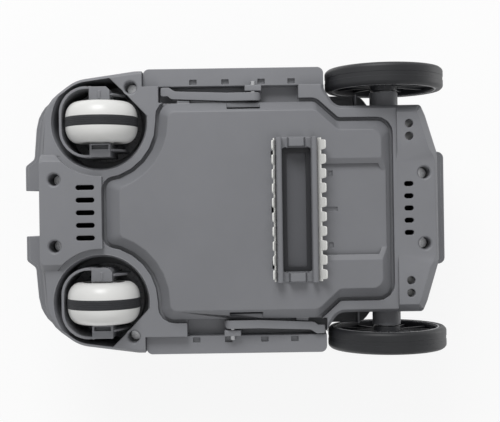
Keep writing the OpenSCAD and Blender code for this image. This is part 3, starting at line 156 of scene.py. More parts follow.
# %% One-sided floor and backdrop
def one_sided(name, colour, glow):
    """A matt sheet that only camera and glossy rays meet, and only on its face. glow is the
    share that shines white by itself, so that the sheet stays white round a soft shadow."""
    made = bpy.data.materials.new(name)
    made.use_nodes = True
    t = made.node_tree
    t.nodes.clear()
    end = t.nodes.new("ShaderNodeOutputMaterial")
    matt = t.nodes.new("ShaderNodeBsdfDiffuse")
    matt.inputs["Color"].default_value = (*colour, 1)
    shine = t.nodes.new("ShaderNodeEmission")
    shine.inputs["Color"].default_value = (1, 1, 1, 1)
    shine.inputs["Strength"].default_value = 1
    pale = t.nodes.new("ShaderNodeMixShader")
    pale.inputs["Fac"].default_value = glow
    clear = t.nodes.new("ShaderNodeBsdfTransparent")
    rays = t.nodes.new("ShaderNodeLightPath")
    side = t.nodes.new("ShaderNodeNewGeometry")
    either = t.nodes.new("ShaderNodeMath")
    either.operation = "MAXIMUM"
    front = t.nodes.new("ShaderNodeMath")
    front.operation = "SUBTRACT"
    front.inputs[0].default_value = 1
    both = t.nodes.new("ShaderNodeMath")
    both.operation = "MULTIPLY"
    pick = t.nodes.new("ShaderNodeMixShader")
    t.links.new(rays.outputs["Is Camera Ray"], either.inputs[0])
    t.links.new(rays.outputs["Is Glossy Ray"], either.inputs[1])
    t.links.new(side.outputs["Backfacing"], front.inputs[1])
    t.links.new(either.outputs[0], both.inputs[0])
    t.links.new(front.outputs[0], both.inputs[1])
    t.links.new(matt.outputs[0], pale.inputs[1])
    t.links.new(shine.outputs[0], pale.inputs[2])
    t.links.new(both.outputs[0], pick.inputs["Fac"])
    t.links.new(clear.outputs[0], pick.inputs[1])
    t.links.new(pale.outputs[0], pick.inputs[2])
    t.links.new(pick.outputs[0], end.inputs["Surface"])
    return made


def sheet_plane(name, half, z, face_down, material):
    """A plane for the stage, with its face up or down."""
    corners = [(-half, -half, z), (half, -half, z), (half, half, z), (-half, half, z)]
    mesh = bpy.data.meshes.new(name)
    mesh.from_pydata(corners, [], [(3, 2, 1, 0) if face_down else (0, 1, 2, 3)])
    mesh.materials.append(material)
    made = bpy.data.objects.new(name, mesh)
    bpy.context.scene.collection.objects.link(made)
    return made


top_z = cad_box[1].z
sheet_plane("floor", 6, -0.0005, False, one_sided("floor_paint", (0.86, 0.86, 0.86), 0.5))
sheet_plane("backdrop", 0.6, top_z + 0.002, True, one_sided("backdrop_paper", (0.92, 0.92, 0.92), 0.86))
print("floor and backdrop stand", round(top_z, 3), "m apart")

# %% [markdown]
# ## Finishes
# Moulded plastic is never one flat colour. It has a fine spark-eroded grain, slow changes of tone
# where the melt flowed, and edges painted paler: partly the rub of hands and pool walls, partly a
# painted highlight of the light that edges catch. Two small node groups hold those effects, and
# each finish uses them with its own values.


# %% Node groups for grain, tone and paled edges (wear and painted highlight)
def new_group(name, inputs, outputs):
    """An empty shader group with named sockets: inputs are (name, value), outputs (name, type)."""
    g = bpy.data.node_groups.new(name, "ShaderNodeTree")
    for label, value in inputs:
        kind = "NodeSocketColor" if hasattr(value, "__len__") else "NodeSocketFloat"
        s = g.interface.new_socket(label, in_out="INPUT", socket_type=kind)
        s.default_value = (*value, 1) if hasattr(value, "__len__") else value
    for label, kind in outputs:
        g.interface.new_socket(label, in_out="OUTPUT", socket_type=kind)
    return g, g.nodes.new("NodeGroupInput"), g.nodes.new("NodeGroupOutput")


def grain_group():
    """Fine moulded grain: a height for bump and a slow mask of tone."""
    g, gin, gout = new_group("moulded_grain", [("Grain Scale", 1400.0), ("Tone Scale", 14.0)],
                             [("Height", "NodeSocketFloat"), ("Tone", "NodeSocketFloat")])
    where = g.nodes.new("ShaderNodeTexCoord")
    fine = g.nodes.new("ShaderNodeTexNoise")
    fine.inputs["Detail"].default_value = 3
    slow = g.nodes.new("ShaderNodeTexNoise")
    slow.inputs["Detail"].default_value = 4
    slow.inputs["Roughness"].default_value = 0.6
    g.links.new(where.outputs["Object"], fine.inputs["Vector"])
    g.links.new(where.outputs["Object"], slow.inputs["Vector"])
    g.links.new(gin.outputs["Grain Scale"], fine.inputs["Scale"])
    g.links.new(gin.outputs["Tone Scale"], slow.inputs["Scale"])
    g.links.new(fine.outputs["Fac"], gout.inputs["Height"])
    g.links.new(slow.outputs["Fac"], gout.inputs["Tone"])
    return g


# The mask pales edges in each finish: partly wear, partly a painted highlight of the light an edge catches.
def edge_wear_and_highlight_group():
    """How close a point is to a sharp edge, broken up by noise."""
    g, gin, gout = new_group("edge_wear_and_highlight", [("Radius", 0.0009), ("Amount", 1.0)],
                             [("Mask", "NodeSocketFloat")])
    rounded = g.nodes.new("ShaderNodeBevel")
    rounded.samples = 6
    flat = g.nodes.new("ShaderNodeNewGeometry")
    agree = g.nodes.new("ShaderNodeVectorMath")
    agree.operation = "DOT_PRODUCT"
    spread = g.nodes.new("ShaderNodeMapRange")
    spread.inputs["From Min"].default_value = 0.995
    spread.inputs["From Max"].default_value = 0.86
    where = g.nodes.new("ShaderNodeTexCoord")
    patchy = g.nodes.new("ShaderNodeTexNoise")
    patchy.inputs["Scale"].default_value = 90
    patchy.inputs["Detail"].default_value = 4
    soften = g.nodes.new("ShaderNodeMapRange")
    soften.inputs["From Min"].default_value = 0.3
    soften.inputs["From Max"].default_value = 0.65
    soften.inputs["To Min"].default_value = 0.35
    times = g.nodes.new("ShaderNodeMath")
    times.operation = "MULTIPLY"
    scaled = g.nodes.new("ShaderNodeMath")
    scaled.operation = "MULTIPLY"
    scaled.use_clamp = True
    g.links.new(gin.outputs["Radius"], rounded.inputs["Radius"])
    g.links.new(rounded.outputs["Normal"], agree.inputs[0])
    g.links.new(flat.outputs["Normal"], agree.inputs[1])
    g.links.new(agree.outputs["Value"], spread.inputs["Value"])
    g.links.new(where.outputs["Object"], patchy.inputs["Vector"])
    g.links.new(patchy.outputs["Fac"], soften.inputs["Value"])
    g.links.new(spread.outputs["Result"], times.inputs[0])
    g.links.new(soften.outputs["Result"], times.inputs[1])
    g.links.new(times.outputs[0], scaled.inputs[0])
    g.links.new(gin.outputs["Amount"], scaled.inputs[1])
    g.links.new(scaled.outputs[0], gout.inputs["Mask"])
    return g


grain = grain_group()
wear_and_highlight = edge_wear_and_highlight_group()
print("groups:", [g.name for g in (grain, wear_and_highlight)])


# %% A finish from the groups
def linear(hex_colour):
    """An sRGB colour such as 'a0a0a0' as linear light."""
    parts = [int(hex_colour[i:i + 2], 16) / 255 for i in (0, 2, 4)]
    return tuple(c / 12.92 if c < 0.04045 else ((c + 0.055) / 1.055) ** 2.4 for c in parts)


def finish(name, colour, edge, rough, grain_scale=1400, bump=0.12, tone=0.1, edge_amount=0.6,
           metal=0.0, radius=0.0009, spec=0.5):
    """Moulded, turned or cast material: base colour with slow tone, grain bump and paler edges, partly wear
    and partly a painted highlight.
    """
    made = bpy.data.materials.new(name)
    made.use_nodes = True
    t = made.node_tree
    shader = t.nodes["Principled BSDF"]
    shader.inputs["Metallic"].default_value = metal
    shader.inputs["Specular IOR Level"].default_value = spec
    base = linear(colour)
    g = t.nodes.new("ShaderNodeGroup")
    g.node_tree = grain
    g.inputs["Grain Scale"].default_value = grain_scale
    w = t.nodes.new("ShaderNodeGroup")
    w.node_tree = wear_and_highlight
    w.inputs["Radius"].default_value = radius
    w.inputs["Amount"].default_value = edge_amount
    shade = t.nodes.new("ShaderNodeMix")
    shade.data_type = "RGBA"
    shade.inputs["A"].default_value = (*[c * (1 - tone) for c in base], 1)
    shade.inputs["B"].default_value = (*[min(1, c * (1 + tone)) for c in base], 1)
    # Edges turn to the paler edge colour: partly wear, partly a painted highlight.
    edges = t.nodes.new("ShaderNodeMix")
    edges.data_type = "RGBA"
    edges.inputs["B"].default_value = (*linear(edge), 1)
    gloss = t.nodes.new("ShaderNodeMapRange")
    gloss.inputs["To Min"].default_value = rough - 0.07
    gloss.inputs["To Max"].default_value = rough + 0.07
    height = t.nodes.new("ShaderNodeBump")
    height.inputs["Strength"].default_value = bump
    height.inputs["Distance"].default_value = 0.0002
    t.links.new(g.outputs["Tone"], shade.inputs["Factor"])
    t.links.new(shade.outputs["Result"], edges.inputs["A"])
    t.links.new(w.outputs["Mask"], edges.inputs["Factor"])
    t.links.new(edges.outputs["Result"], shader.inputs["Base Color"])
    t.links.new(g.outputs["Tone"], gloss.inputs["Value"])
    t.links.new(gloss.outputs["Result"], shader.inputs["Roughness"])
    t.links.new(g.outputs["Height"], height.inputs["Height"])
    t.links.new(height.outputs["Normal"], shader.inputs["Normal"])
    return made


grey_case = finish("case_grey", "7b7c80", "a6a7aa", 0.5)
grey_lid = finish("lid_grey", "77787c", "9c9da0", 0.52)
grey_dark = finish("deep_grey", "55565a", "77787b", 0.55)
black_plastic = finish("black_plastic", "222327", "4c4d50", 0.42, tone=0.14)
pump_plastic = finish("pump_plastic", "34363b", "595b5f", 0.45)
rim_plastic = finish("wheel_plastic", "2c2d31", "66676b", 0.42)
white_plastic = finish("roller_white", "dededc", "f0f0ee", 0.33, bump=0.05, tone=0.03, edge_amount=0.3)
wiper_rubber = finish("wiper_white", "e4e4e1", "f2f2f0", 0.55, bump=0.08, tone=0.04, edge_amount=0.2)
band_rubber = finish("band_rubber", "26272a", "3f4043", 0.72, grain_scale=900, bump=0.3, tone=0.16)
tyre_rubber = finish("tyre_rubber", "1d1e21", "3a3b3e", 0.5, grain_scale=1000, bump=0.25, tone=0.16)
pale_insert = finish("index_grey", "8e8f92", "b4b5b7", 0.5)
# Pale grey for the ring inside each tyre: a painted highlight on the rim's edge.
rim_highlight_ring = finish("rim_highlight_ring", "a2a3a6", "cfcfd0", 0.4)
steel = finish("bright_steel", "b9babc", "e2e2e2", 0.28, bump=0.05, tone=0.08, metal=1.0)
finishes = {"housing": grey_case, "lid": grey_lid, "rim": rim_plastic, "black_plastic": black_plastic,
            "pump_plastic": pump_plastic, "white_plastic": white_plastic, "wiper": wiper_rubber,
            "band": band_rubber, "tyre": tyre_rubber, "steel": steel, "cloth": white_plastic}
for n, node in nodes.items():
    node.data.materials.clear()
    node.data.materials.append(finishes[slot_of[n]])
print(len(finishes), "finishes on", len(nodes), "nodes")

# %% [markdown]
# ## Soft edges on the moulded parts
# A mould cannot hold a perfectly sharp edge, and the thin line of light along an edge is what tells
# the eye that a part is plastic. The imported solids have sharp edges, so each one that shows is
# copied, its loose triangles are joined, and its edges get a small bevel. Where a bevel runs out
# into a thin face its corner can fly off, so every corner is pulled back onto the old surface.


# %% A copy with bevelled edges
def joined_mesh(*names):
    """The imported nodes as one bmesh, with doubles merged and flat faces cut up afresh."""
    bm = bmesh.new()
    for n in names:
        bm.from_mesh(nodes[n].data)
    bmesh.ops.remove_doubles(bm, verts=bm.verts, dist=0.000004)
    bmesh.ops.dissolve_limit(bm, angle_limit=math.radians(0.06), verts=bm.verts, edges=bm.edges)
    bmesh.ops.triangulate(bm, faces=[f for f in bm.faces if len(f.verts) > 4])
    return bm


def bevel_edges(bm, width, segments=2, sharp=28):
    """Bevels the edges that turn by more than sharp degrees, and keeps the result on the surface."""
    skin = BVHTree.FromBMesh(bm)
    limit = math.radians(sharp)
    edges = [e for e in bm.edges if len(e.link_faces) == 2 and e.calc_face_angle() > limit]
    bmesh.ops.bevel(bm, geom=edges, offset=width, offset_type="OFFSET", segments=segments,
                    profile=0.5, affect="EDGES", clamp_overlap=False)
    for v in bm.verts:
        near, _, _, away = skin.find_nearest(v.co)
        if away > 0.7 * width:
            v.co = near
    bmesh.ops.remove_doubles(bm, verts=bm.verts, dist=0.000004)
    bmesh.ops.triangulate(bm, faces=[f for f in bm.faces if len(f.verts) > 4])


def show(name, bm, body, material, replaced=(), smooth=38):
    """Makes a bmesh a piece: shaded, painted, riding on its body, and standing for its nodes."""
    mesh = bpy.data.meshes.new(name)
    bm.to_mesh(mesh)
    bm.free()
    mesh.materials.clear()
    mesh.materials.append(material)
    mesh.shade_smooth()
    mesh.set_sharp_from_angle(angle=math.radians(smooth))
    made = bpy.data.objects.new(name, mesh)
    bpy.context.scene.collection.objects.link(made)
    weighted = made.modifiers.new("even_normals", "WEIGHTED_NORMAL")
    weighted.keep_sharp = True
    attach(made, body)
    if replaced:
        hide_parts(*replaced)
    return made


def soften(name, *names, width=0.00045, material=None, segments=2, sharp=28, smooth=38):
    """A bevelled piece that stands for these nodes, in their own finish unless one is given."""
    bm = joined_mesh(*names)
    bevel_edges(bm, width, segments, sharp)
    slot = slot_of[names[0]]
    return show(name, bm, body_of[names[0]], material or finishes[slot], names, smooth)


soften("chassis_floor", "chassis_pan", width=0.0006)
soften("lid_panel", "bottom_lid", width=0.0007)
soften("hood_shell", "hood", width=0.0007, smooth=55)
for side in ("left", "right"):
    soften(f"side_bar_{side}", f"side_panel_{side}")
    soften(f"latch_lever_{side}", f"latch_{side}")
    soften(f"hub_cover_{side}", f"hub_cap_{side}", width=0.0003)
    soften(f"yoke_{side}", f"caster_yoke_{side}")
for n in ("front", "rear"):
    soften(f"{n}_jet", f"{n}_nozzle", width=0.0003)
soften("check_flap", "intake_flap", width=0.0003, material=grey_dark)
soften("intake_shaft", "intake_duct", width=0.0003)
soften("valve_housing", "valve_box", width=0.0005)
soften("gland_body", "cable_gland", width=0.0004)
soften("gland_ring_nut", "gland_nut", width=0.0004)

# %% [markdown]
# ## Copies in a ring and in a row
# Ticks, wedges and ribs are each one small shape made many times. Two node trees do that:
# one sets the copies round a circle, the other along a line. Both take the shape from the object
# that carries the modifier, so one tree serves for every shape.


# %% The two trees
def tree_with(name, sockets):
    """A geometry tree with a mesh in and out and named inputs (name, type, value)."""
    g = bpy.data.node_groups.new(name, "GeometryNodeTree")
    g.interface.new_socket("Geometry", in_out="INPUT", socket_type="NodeSocketGeometry")
    for label, kind, value in sockets:
        s = g.interface.new_socket(label, in_out="INPUT", socket_type=kind)
        if value is not None:
            s.default_value = value
    g.interface.new_socket("Geometry", in_out="OUTPUT", socket_type="NodeSocketGeometry")
    return g, g.nodes.new("NodeGroupInput"), g.nodes.new("NodeGroupOutput")


def finish_tree(g, gin, gout, copies):
    """Ends a tree: the copies made real, then painted."""
    real = g.nodes.new("GeometryNodeRealizeInstances")
    paint = g.nodes.new("GeometryNodeSetMaterial")
    g.links.new(copies.outputs["Instances"], real.inputs["Geometry"])
    g.links.new(real.outputs["Geometry"], paint.inputs["Geometry"])
    g.links.new(gin.outputs["Material"], paint.inputs["Material"])
    g.links.new(paint.outputs["Geometry"], gout.inputs["Geometry"])


def ring_tree():
    """Copies round the Z axis: the shape's +X points outwards and lies Radius from the axis."""
    g, gin, gout = tree_with("copies_in_a_ring", [
        ("Count", "NodeSocketInt", 12), ("Radius", "NodeSocketFloat", 0.02),
        ("First Angle", "NodeSocketFloat", 0.0), ("Step Angle", "NodeSocketFloat", 0.5236),
        ("Material", "NodeSocketMaterial", None)])
    points = g.nodes.new("GeometryNodePoints")
    index = g.nodes.new("GeometryNodeInputIndex")
    turn = g.nodes.new("ShaderNodeMath")
    turn.operation = "MULTIPLY_ADD"
    cosine = g.nodes.new("ShaderNodeMath")
    cosine.operation = "COSINE"
    sine = g.nodes.new("ShaderNodeMath")
    sine.operation = "SINE"
    unit = g.nodes.new("ShaderNodeCombineXYZ")
    place = g.nodes.new("ShaderNodeVectorMath")
    place.operation = "SCALE"
    spin = g.nodes.new("ShaderNodeCombineXYZ")
    copies = g.nodes.new("GeometryNodeInstanceOnPoints")
    g.links.new(gin.outputs["Count"], points.inputs["Count"])
    g.links.new(index.outputs["Index"], turn.inputs[0])
    g.links.new(gin.outputs["Step Angle"], turn.inputs[1])
    g.links.new(gin.outputs["First Angle"], turn.inputs[2])
    g.links.new(turn.outputs[0], cosine.inputs[0])
    g.links.new(turn.outputs[0], sine.inputs[0])
    g.links.new(cosine.outputs[0], unit.inputs["X"])
    g.links.new(sine.outputs[0], unit.inputs["Y"])
    g.links.new(unit.outputs["Vector"], place.inputs[0])
    g.links.new(gin.outputs["Radius"], place.inputs["Scale"])
    g.links.new(place.outputs["Vector"], points.inputs["Position"])
    g.links.new(turn.outputs[0], spin.inputs["Z"])
    g.links.new(points.outputs[0], copies.inputs["Points"])
    g.links.new(gin.outputs["Geometry"], copies.inputs["Instance"])
    g.links.new(spin.outputs["Vector"], copies.inputs["Rotation"])
    finish_tree(g, gin, gout, copies)
    return g


def row_tree():
    """Copies along a line: the first at Start, each next one further by Step."""
    g, gin, gout = tree_with("copies_in_a_row", [
        ("Count", "NodeSocketInt", 10), ("Start", "NodeSocketVector", (0, 0, 0)),
        ("Step", "NodeSocketVector", (0.01, 0, 0)), ("Material", "NodeSocketMaterial", None)])
    line = g.nodes.new("GeometryNodeMeshLine")
    line.mode = "OFFSET"
    copies = g.nodes.new("GeometryNodeInstanceOnPoints")
    g.links.new(gin.outputs["Count"], line.inputs["Count"])
    g.links.new(gin.outputs["Start"], line.inputs["Start Location"])
    g.links.new(gin.outputs["Step"], line.inputs["Offset"])
    g.links.new(line.outputs["Mesh"], copies.inputs["Points"])
    g.links.new(gin.outputs["Geometry"], copies.inputs["Instance"])
    finish_tree(g, gin, gout, copies)
    return g


in_a_ring = ring_tree()
in_a_row = row_tree()


def copies(shape, tree, material, **values):
    """The shape (a bmesh) repeated by a tree. Values are the tree's inputs, with _ for a space."""
    mesh = bpy.data.meshes.new("shape")
    shape.to_mesh(mesh)
    shape.free()
    carrier = bpy.data.objects.new("carrier", mesh)
    bpy.context.scene.collection.objects.link(carrier)
    modifier = carrier.modifiers.new("copies", "NODES")
    modifier.node_group = tree
    wanted = {label.replace("_", " "): value for label, value in values.items()}
    wanted["Material"] = material
    for s in tree.interface.items_tree:
        if s.in_out == "INPUT" and s.name in wanted:
            modifier[s.identifier] = wanted[s.name]
    graph = bpy.context.evaluated_depsgraph_get()
    made = bpy.data.meshes.new_from_object(carrier.evaluated_get(graph), depsgraph=graph)
    bpy.data.objects.remove(carrier)
    bm = bmesh.new()
    bm.from_mesh(made)
    return bm


print("trees:", in_a_ring.name, "and", in_a_row.name)

# %% [markdown]
# ## Small solids
# Every copied shape starts as a flat outline with a thickness, so one helper makes those, and one
# more makes turned solids from a profile, as a lathe does.


# %% Outlines with a thickness, and turned shapes
def slab(outline, thickness, bevel=0.0):
    """A solid from an outline in the XY plane, from z = 0 up to the thickness."""
    bm = bmesh.new()
    face = bm.faces.new([bm.verts.new((x, y, 0)) for x, y in outline])
    grown = bmesh.ops.extrude_face_region(bm, geom=[face])["geom"]
    bmesh.ops.translate(bm, vec=(0, 0, thickness), verts=[v for v in grown if hasattr(v, "co")])
    bmesh.ops.recalc_face_normals(bm, faces=bm.faces)
    if bevel:
        bmesh.ops.bevel(bm, geom=bm.edges[:], offset=bevel, segments=2, profile=0.5, affect="EDGES",
                        clamp_overlap=True)
    return bm


def turned(profile, axis, steps=96):
    """A closed solid from a loop of (radius, height) points, turned round the X or Z axis."""
    bm = bmesh.new()
    if axis == "X":
        loop = [bm.verts.new((h, 0, r)) for r, h in profile]
    else:
        loop = [bm.verts.new((r, 0, h)) for r, h in profile]
    edges = [bm.edges.new((loop[i], loop[(i + 1) % len(loop)])) for i in range(len(loop))]
    bmesh.ops.spin(bm, geom=loop + edges, cent=(0, 0, 0), axis=(1, 0, 0) if axis == "X" else (0, 0, 1),
                   angle=2 * math.pi, steps=steps, use_duplicate=False)
    bmesh.ops.remove_doubles(bm, verts=bm.verts, dist=0.000005)
    bmesh.ops.recalc_face_normals(bm, faces=bm.faces)
    return bm


def moved(bm, place=(0, 0, 0), turn=None):
    """The bmesh turned by a matrix, then put at a place."""
    if turn is not None:
        bmesh.ops.transform(bm, matrix=turn, verts=bm.verts)
    bmesh.ops.translate(bm, vec=place, verts=bm.verts)
    return bm


def merged(*parts):
    """Several bmeshes as one."""
    whole = bmesh.new()
    for bm in parts:
        mesh = bpy.data.meshes.new("part")
        bm.to_mesh(mesh)
        bm.free()
        whole.from_mesh(mesh)
        bpy.data.meshes.remove(mesh)
    return whole


def corner(r, h, radius, first, last, n=8):
    """Points of a round corner about (r, h), from one angle to another in degrees."""
    angles = [math.radians(first + (last - first) * i / n) for i in range(n + 1)]
    return [(r + radius * math.cos(a), h + radius * math.sin(a)) for a in angles]


def middle(node):
    """The centre of a node's box."""
    low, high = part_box(node)
    return (low + high) / 2


# %% [markdown]
# ## Rear wheels
# A rear wheel is a hard rim with a soft tyre shrunk on. The tyre is smooth, with round shoulders,
# a thin line on one side and a shallow band round the tread, where the halves of its mould met.
# Its outline is turned round the axle, so it stays exactly round at every angle.

# %% Tyres
shoulder = 4 * mm
line = 0.35 * mm
seat = 3.5 * mm
parting = 2 * mm
for side in ("left", "right"):
    low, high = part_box(f"wheel_tyre_{side}")
    rim_low, rim_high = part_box(f"wheel_rim_{side}")
    r = (high.z - low.z) / 2
    rim = (rim_high.z - rim_low.z) / 2
    half = (high.x - low.x) / 2
    profile = [(rim - 1.5 * mm, -half + seat), (rim - 1.5 * mm, -half + 0.8 * mm),
               (rim - 0.5 * mm, -half), (rim + 1.1 * mm, -half), (rim + 1.3 * mm, -half + line),
               (rim + 1.7 * mm, -half + line), (rim + 1.9 * mm, -half)]
    profile += corner(r - shoulder, -half + shoulder, shoulder, -66, 0)
    profile += [(r, -parting - 0.2 * mm), (r - line, -parting), (r - line, parting), (r, parting + 0.2 * mm)]
    profile += corner(r - shoulder, half - shoulder, shoulder, 0, 66)
    profile += [(rim + 1.9 * mm, half), (rim - 0.5 * mm, half), (rim - 1.5 * mm, half - 0.8 * mm),
                (rim - 1.5 * mm, half - seat), (rim, half - seat), (rim, -half + seat)]
    centre = (low + high) / 2
    show(f"tyre_{side}", moved(turned(profile, "X", 144), centre), f"wheel_{side}", tyre_rubber,
         [f"wheel_tyre_{side}"], smooth=50)
print("tyre radius", round(r * 1000, 1), "mm")

# %% [markdown]
# The rim is moulded in one piece with ribs on both sides. The imported rim already has them, so it
# only gets soft edges and a pale ring just inside the tyre, a painted highlight where light catches
# the rim's edge.

# %% Rims
lip_inset = 3.1 * mm
lip_half = 0.5 * mm
lip_deep = 0.9 * mm
for side in ("left", "right"):
    soften(f"wheel_disc_{side}", f"wheel_rim_{side}", width=0.0004)
    low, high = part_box(f"wheel_rim_{side}")
    centre = (low + high) / 2
    lip_r = (high.z - low.z) / 2 - lip_inset
    face = low.x + lip_deep if side == "left" else high.x - lip_deep
    # A thin ring painted pale as a highlight where light catches the rim's edge.
    lip = turned([(lip_r - lip_half, 0), (lip_r + lip_half, 0), (lip_r + lip_half, lip_deep),
                  (lip_r - lip_half, lip_deep)], "X", 96)
    show(f"rim_highlight_ring_{side}", moved(lip, (face - lip_deep / 2, centre.y, centre.z)), f"wheel_{side}",
         rim_highlight_ring)
print("lip radius", round(lip_r * 1000, 1), "mm")

# %% [markdown]
# ## Front rollers
# Each caster carries a barrel in two white halves with a rubber band between them. The barrel's
# side follows a quarter of an ellipse. The band has fine grooves that wipe the floor.

# %% Barrels and bands
band_lift = 0.6 * mm
barrel_drop = 12.5 * mm
bore = 4.1 * mm
grooves = 3
for side in ("left", "right"):
    low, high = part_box(f"roller_shells_{side}")
    band_low, band_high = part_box(f"roller_band_{side}")
    centre = (low + high) / 2
    h = (high.x - low.x) / 2
    b = (band_high.x - band_low.x) / 2
    r = (band_high.z - band_low.z) / 2
    edge_r = r - band_lift
    end_r = r - barrel_drop
    halves = []
    for s in (-1, 1):
        arc = [(end_r + (edge_r - end_r) * math.cos(t), s * (b + (h - b) * math.sin(t)))
               for t in [math.radians(3 * i) for i in range(31)]]
        profile = [(bore, 0.05 * mm * s), (edge_r - 4 * mm, 0.05 * mm * s), (edge_r - 4 * mm, s * b)]
        profile += arc + [(end_r - 2.5 * mm, s * h), (end_r - 4 * mm, s * (h - 2 * mm)),
                          (14 * mm, s * (h - 2.6 * mm)), (11 * mm, s * h), (bore, s * h)]
        halves.append(turned(profile, "X", 128))
    show(f"roller_barrel_{side}", moved(merged(*halves), centre), f"roller_{side}", white_plastic,
         [f"roller_shells_{side}"], smooth=40)
    pitch = 2 * (b - 1.2 * mm) / (grooves + 1)
    profile = [(edge_r - 3.9 * mm, -b), (edge_r, -b), (r, -b + 1.1 * mm)]
    for i in range(grooves):
        x = -b + 1.2 * mm + pitch * (i + 1)
        profile += [(r, x - 0.35 * mm), (r - 0.3 * mm, x - 0.12 * mm), (r - 0.3 * mm, x + 0.12 * mm),
                    (r, x + 0.35 * mm)]
    profile += [(r, b - 1.1 * mm), (edge_r, b), (edge_r - 3.9 * mm, b)]
    show(f"roller_tread_{side}", moved(turned(profile, "X", 128), centre), f"roller_{side}",
         band_rubber, [f"roller_band_{side}"], smooth=40)
print("barrel from radius", round(edge_r * 1000, 1), "to", round(end_r * 1000, 1), "mm")

# %% [markdown]
# ## Caster wells and their index ring
# The turntable of a caster carries a raised ring with a tick every ten degrees. Eight wedges inside
# the ticks point outwards. Both are a plain case for the ring tree. The ring is a paler plastic
# insert, so it is a piece of its own.

# %% Index ring
ring_in, ring_out = 29.5 * mm, 36.6 * mm
ring_deep = 0.9 * mm
washer_to_face = 7.6 * mm
for side in ("left", "right"):
    washer = middle(f"caster_washer_{side}")
    z_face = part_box(f"caster_washer_{side}")[0].z - washer_to_face
    hoop = turned([(ring_in, 0), (ring_out, 0), (ring_out, -0.5 * mm), (ring_out - 0.4 * mm, -ring_deep),
                   (ring_in + 0.4 * mm, -ring_deep), (ring_in, -0.5 * mm)], "Z", 120)
    show(f"index_ring_{side}", moved(hoop, (washer.x, washer.y, z_face)), f"caster_{side}", pale_insert)
    tick = slab([(-1.6 * mm, -0.2 * mm), (1.6 * mm, -0.2 * mm), (1.6 * mm, 0.2 * mm),
                 (-1.6 * mm, 0.2 * mm)], 0.3 * mm)
    ticks = copies(tick, in_a_ring, grey_dark, Count=36, Radius=34.2 * mm, Step_Angle=math.radians(10))
    wedge = slab([(-2.4 * mm, -2 * mm), (1.8 * mm, 0), (-2.4 * mm, 2 * mm)], 0.4 * mm)
    wedges = copies(wedge, in_a_ring, grey_dark, Count=8, Radius=31.8 * mm, First_Angle=math.radians(25),
                    Step_Angle=math.radians(45))
    marks = merged(ticks, wedges)
    show(f"index_marks_{side}", moved(marks, (washer.x, washer.y, z_face - 1.15 * mm)),
         f"caster_{side}", grey_dark)
print("index ring at", round(z_face * 1000, 1), "mm")

# %% [markdown]
# ## The suction mouth
# Two rails stand along the mouth, and a toothed rubber strip leans away from each. The teeth sweep
# sand towards the mouth and bend out of the way when the machine turns. Rails and strips are whole
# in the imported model, so they only get soft edges.

# %% Rails
for n in ("front", "rear"):
    soften(f"{n}_mouth_rail", f"{n}_rail", width=0.0006)
rail_low, rail_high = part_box("front_rail")
print("rails", round((rail_high.x - rail_low.x) * 1000, 1), "mm long")

# %% Wiper strips
for n in ("front", "rear"):
    soften(f"{n}_wiper_strip", f"{n}_wiper", width=0.0003)

# %% [markdown]
# ## The filter bag
# The bag is sewn cloth, drawn over two hoops and tucked inside the rim of the lid. Its skin is
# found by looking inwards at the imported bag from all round, level by level. The skin is meshed
# evenly, its mouth is cut open, and a short cloth simulation lets it sink between the hoops. A bag
# could also be lofted by hand, but the sag between two hoops is what simulation does best.

# %% The skin of the bag
bag_low, bag_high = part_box("filter_bag")
hoop_low, hoop_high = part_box("bag_frame")
cloth_thick = 0.6 * mm
around = 220
levels = 22
bag_solid = joined_mesh("filter_bag")
bag_tree = BVHTree.FromBMesh(bag_solid)
bag_solid.free()
heart = Vector(((bag_low.x + bag_high.x) / 2, (bag_low.y + bag_high.y) / 2, 0))
bottom, top = bag_low.z + 0.5 * mm, bag_high.z - 0.3 * mm
skin = bmesh.new()
rings = []
for k in range(levels + 1):
    z = bottom + (top - bottom) * k / levels
    level = []
    for i in range(around):
        a = 2 * math.pi * i / around
        way = Vector((math.cos(a), math.sin(a), 0))
        start = Vector((heart.x, heart.y, z)) + way * 0.4
        level.append(skin.verts.new(bag_tree.ray_cast(start, -way)[0]))
    rings.append(level)
for a, b in zip(rings, rings[1:]):
    for i in range(around):
        j = (i + 1) % around
        skin.faces.new((a[i], a[j], b[j], b[i]))
skin.faces.new(reversed(rings[0]))
skin.faces.new(rings[-1])
bmesh.ops.triangulate(skin, faces=[f for f in skin.faces if len(f.verts) > 4])
print(len(skin.verts), "points on the skin")

# %% An even mesh, open at the hem
bag_mesh = bpy.data.meshes.new("bag_cloth")
skin.to_mesh(bag_mesh)
skin.free()
bag = bpy.data.objects.new("bag_cloth", bag_mesh)
bpy.context.scene.collection.objects.link(bag)
even = bag.modifiers.new("even", "REMESH")
even.mode = "VOXEL"
even.voxel_size = 4.5 * mm
graph = bpy.context.evaluated_depsgraph_get()
evened = bpy.data.meshes.new_from_object(bag.evaluated_get(graph), depsgraph=graph)
bag.modifiers.clear()
bag.data = evened
bm = bmesh.new()
bm.from_mesh(evened)
floor_of_bag = [v for v in bm.verts if v.co.z < bag_low.z + 3.5 * mm]
bmesh.ops.delete(bm, geom=floor_of_bag, context="VERTS")
for v in bm.verts:
    if v.is_boundary:
        v.co.z = bag_low.z + 0.6 * mm
bm.to_mesh(evened)
bm.free()
print(len(evened.vertices), "points in the cloth")

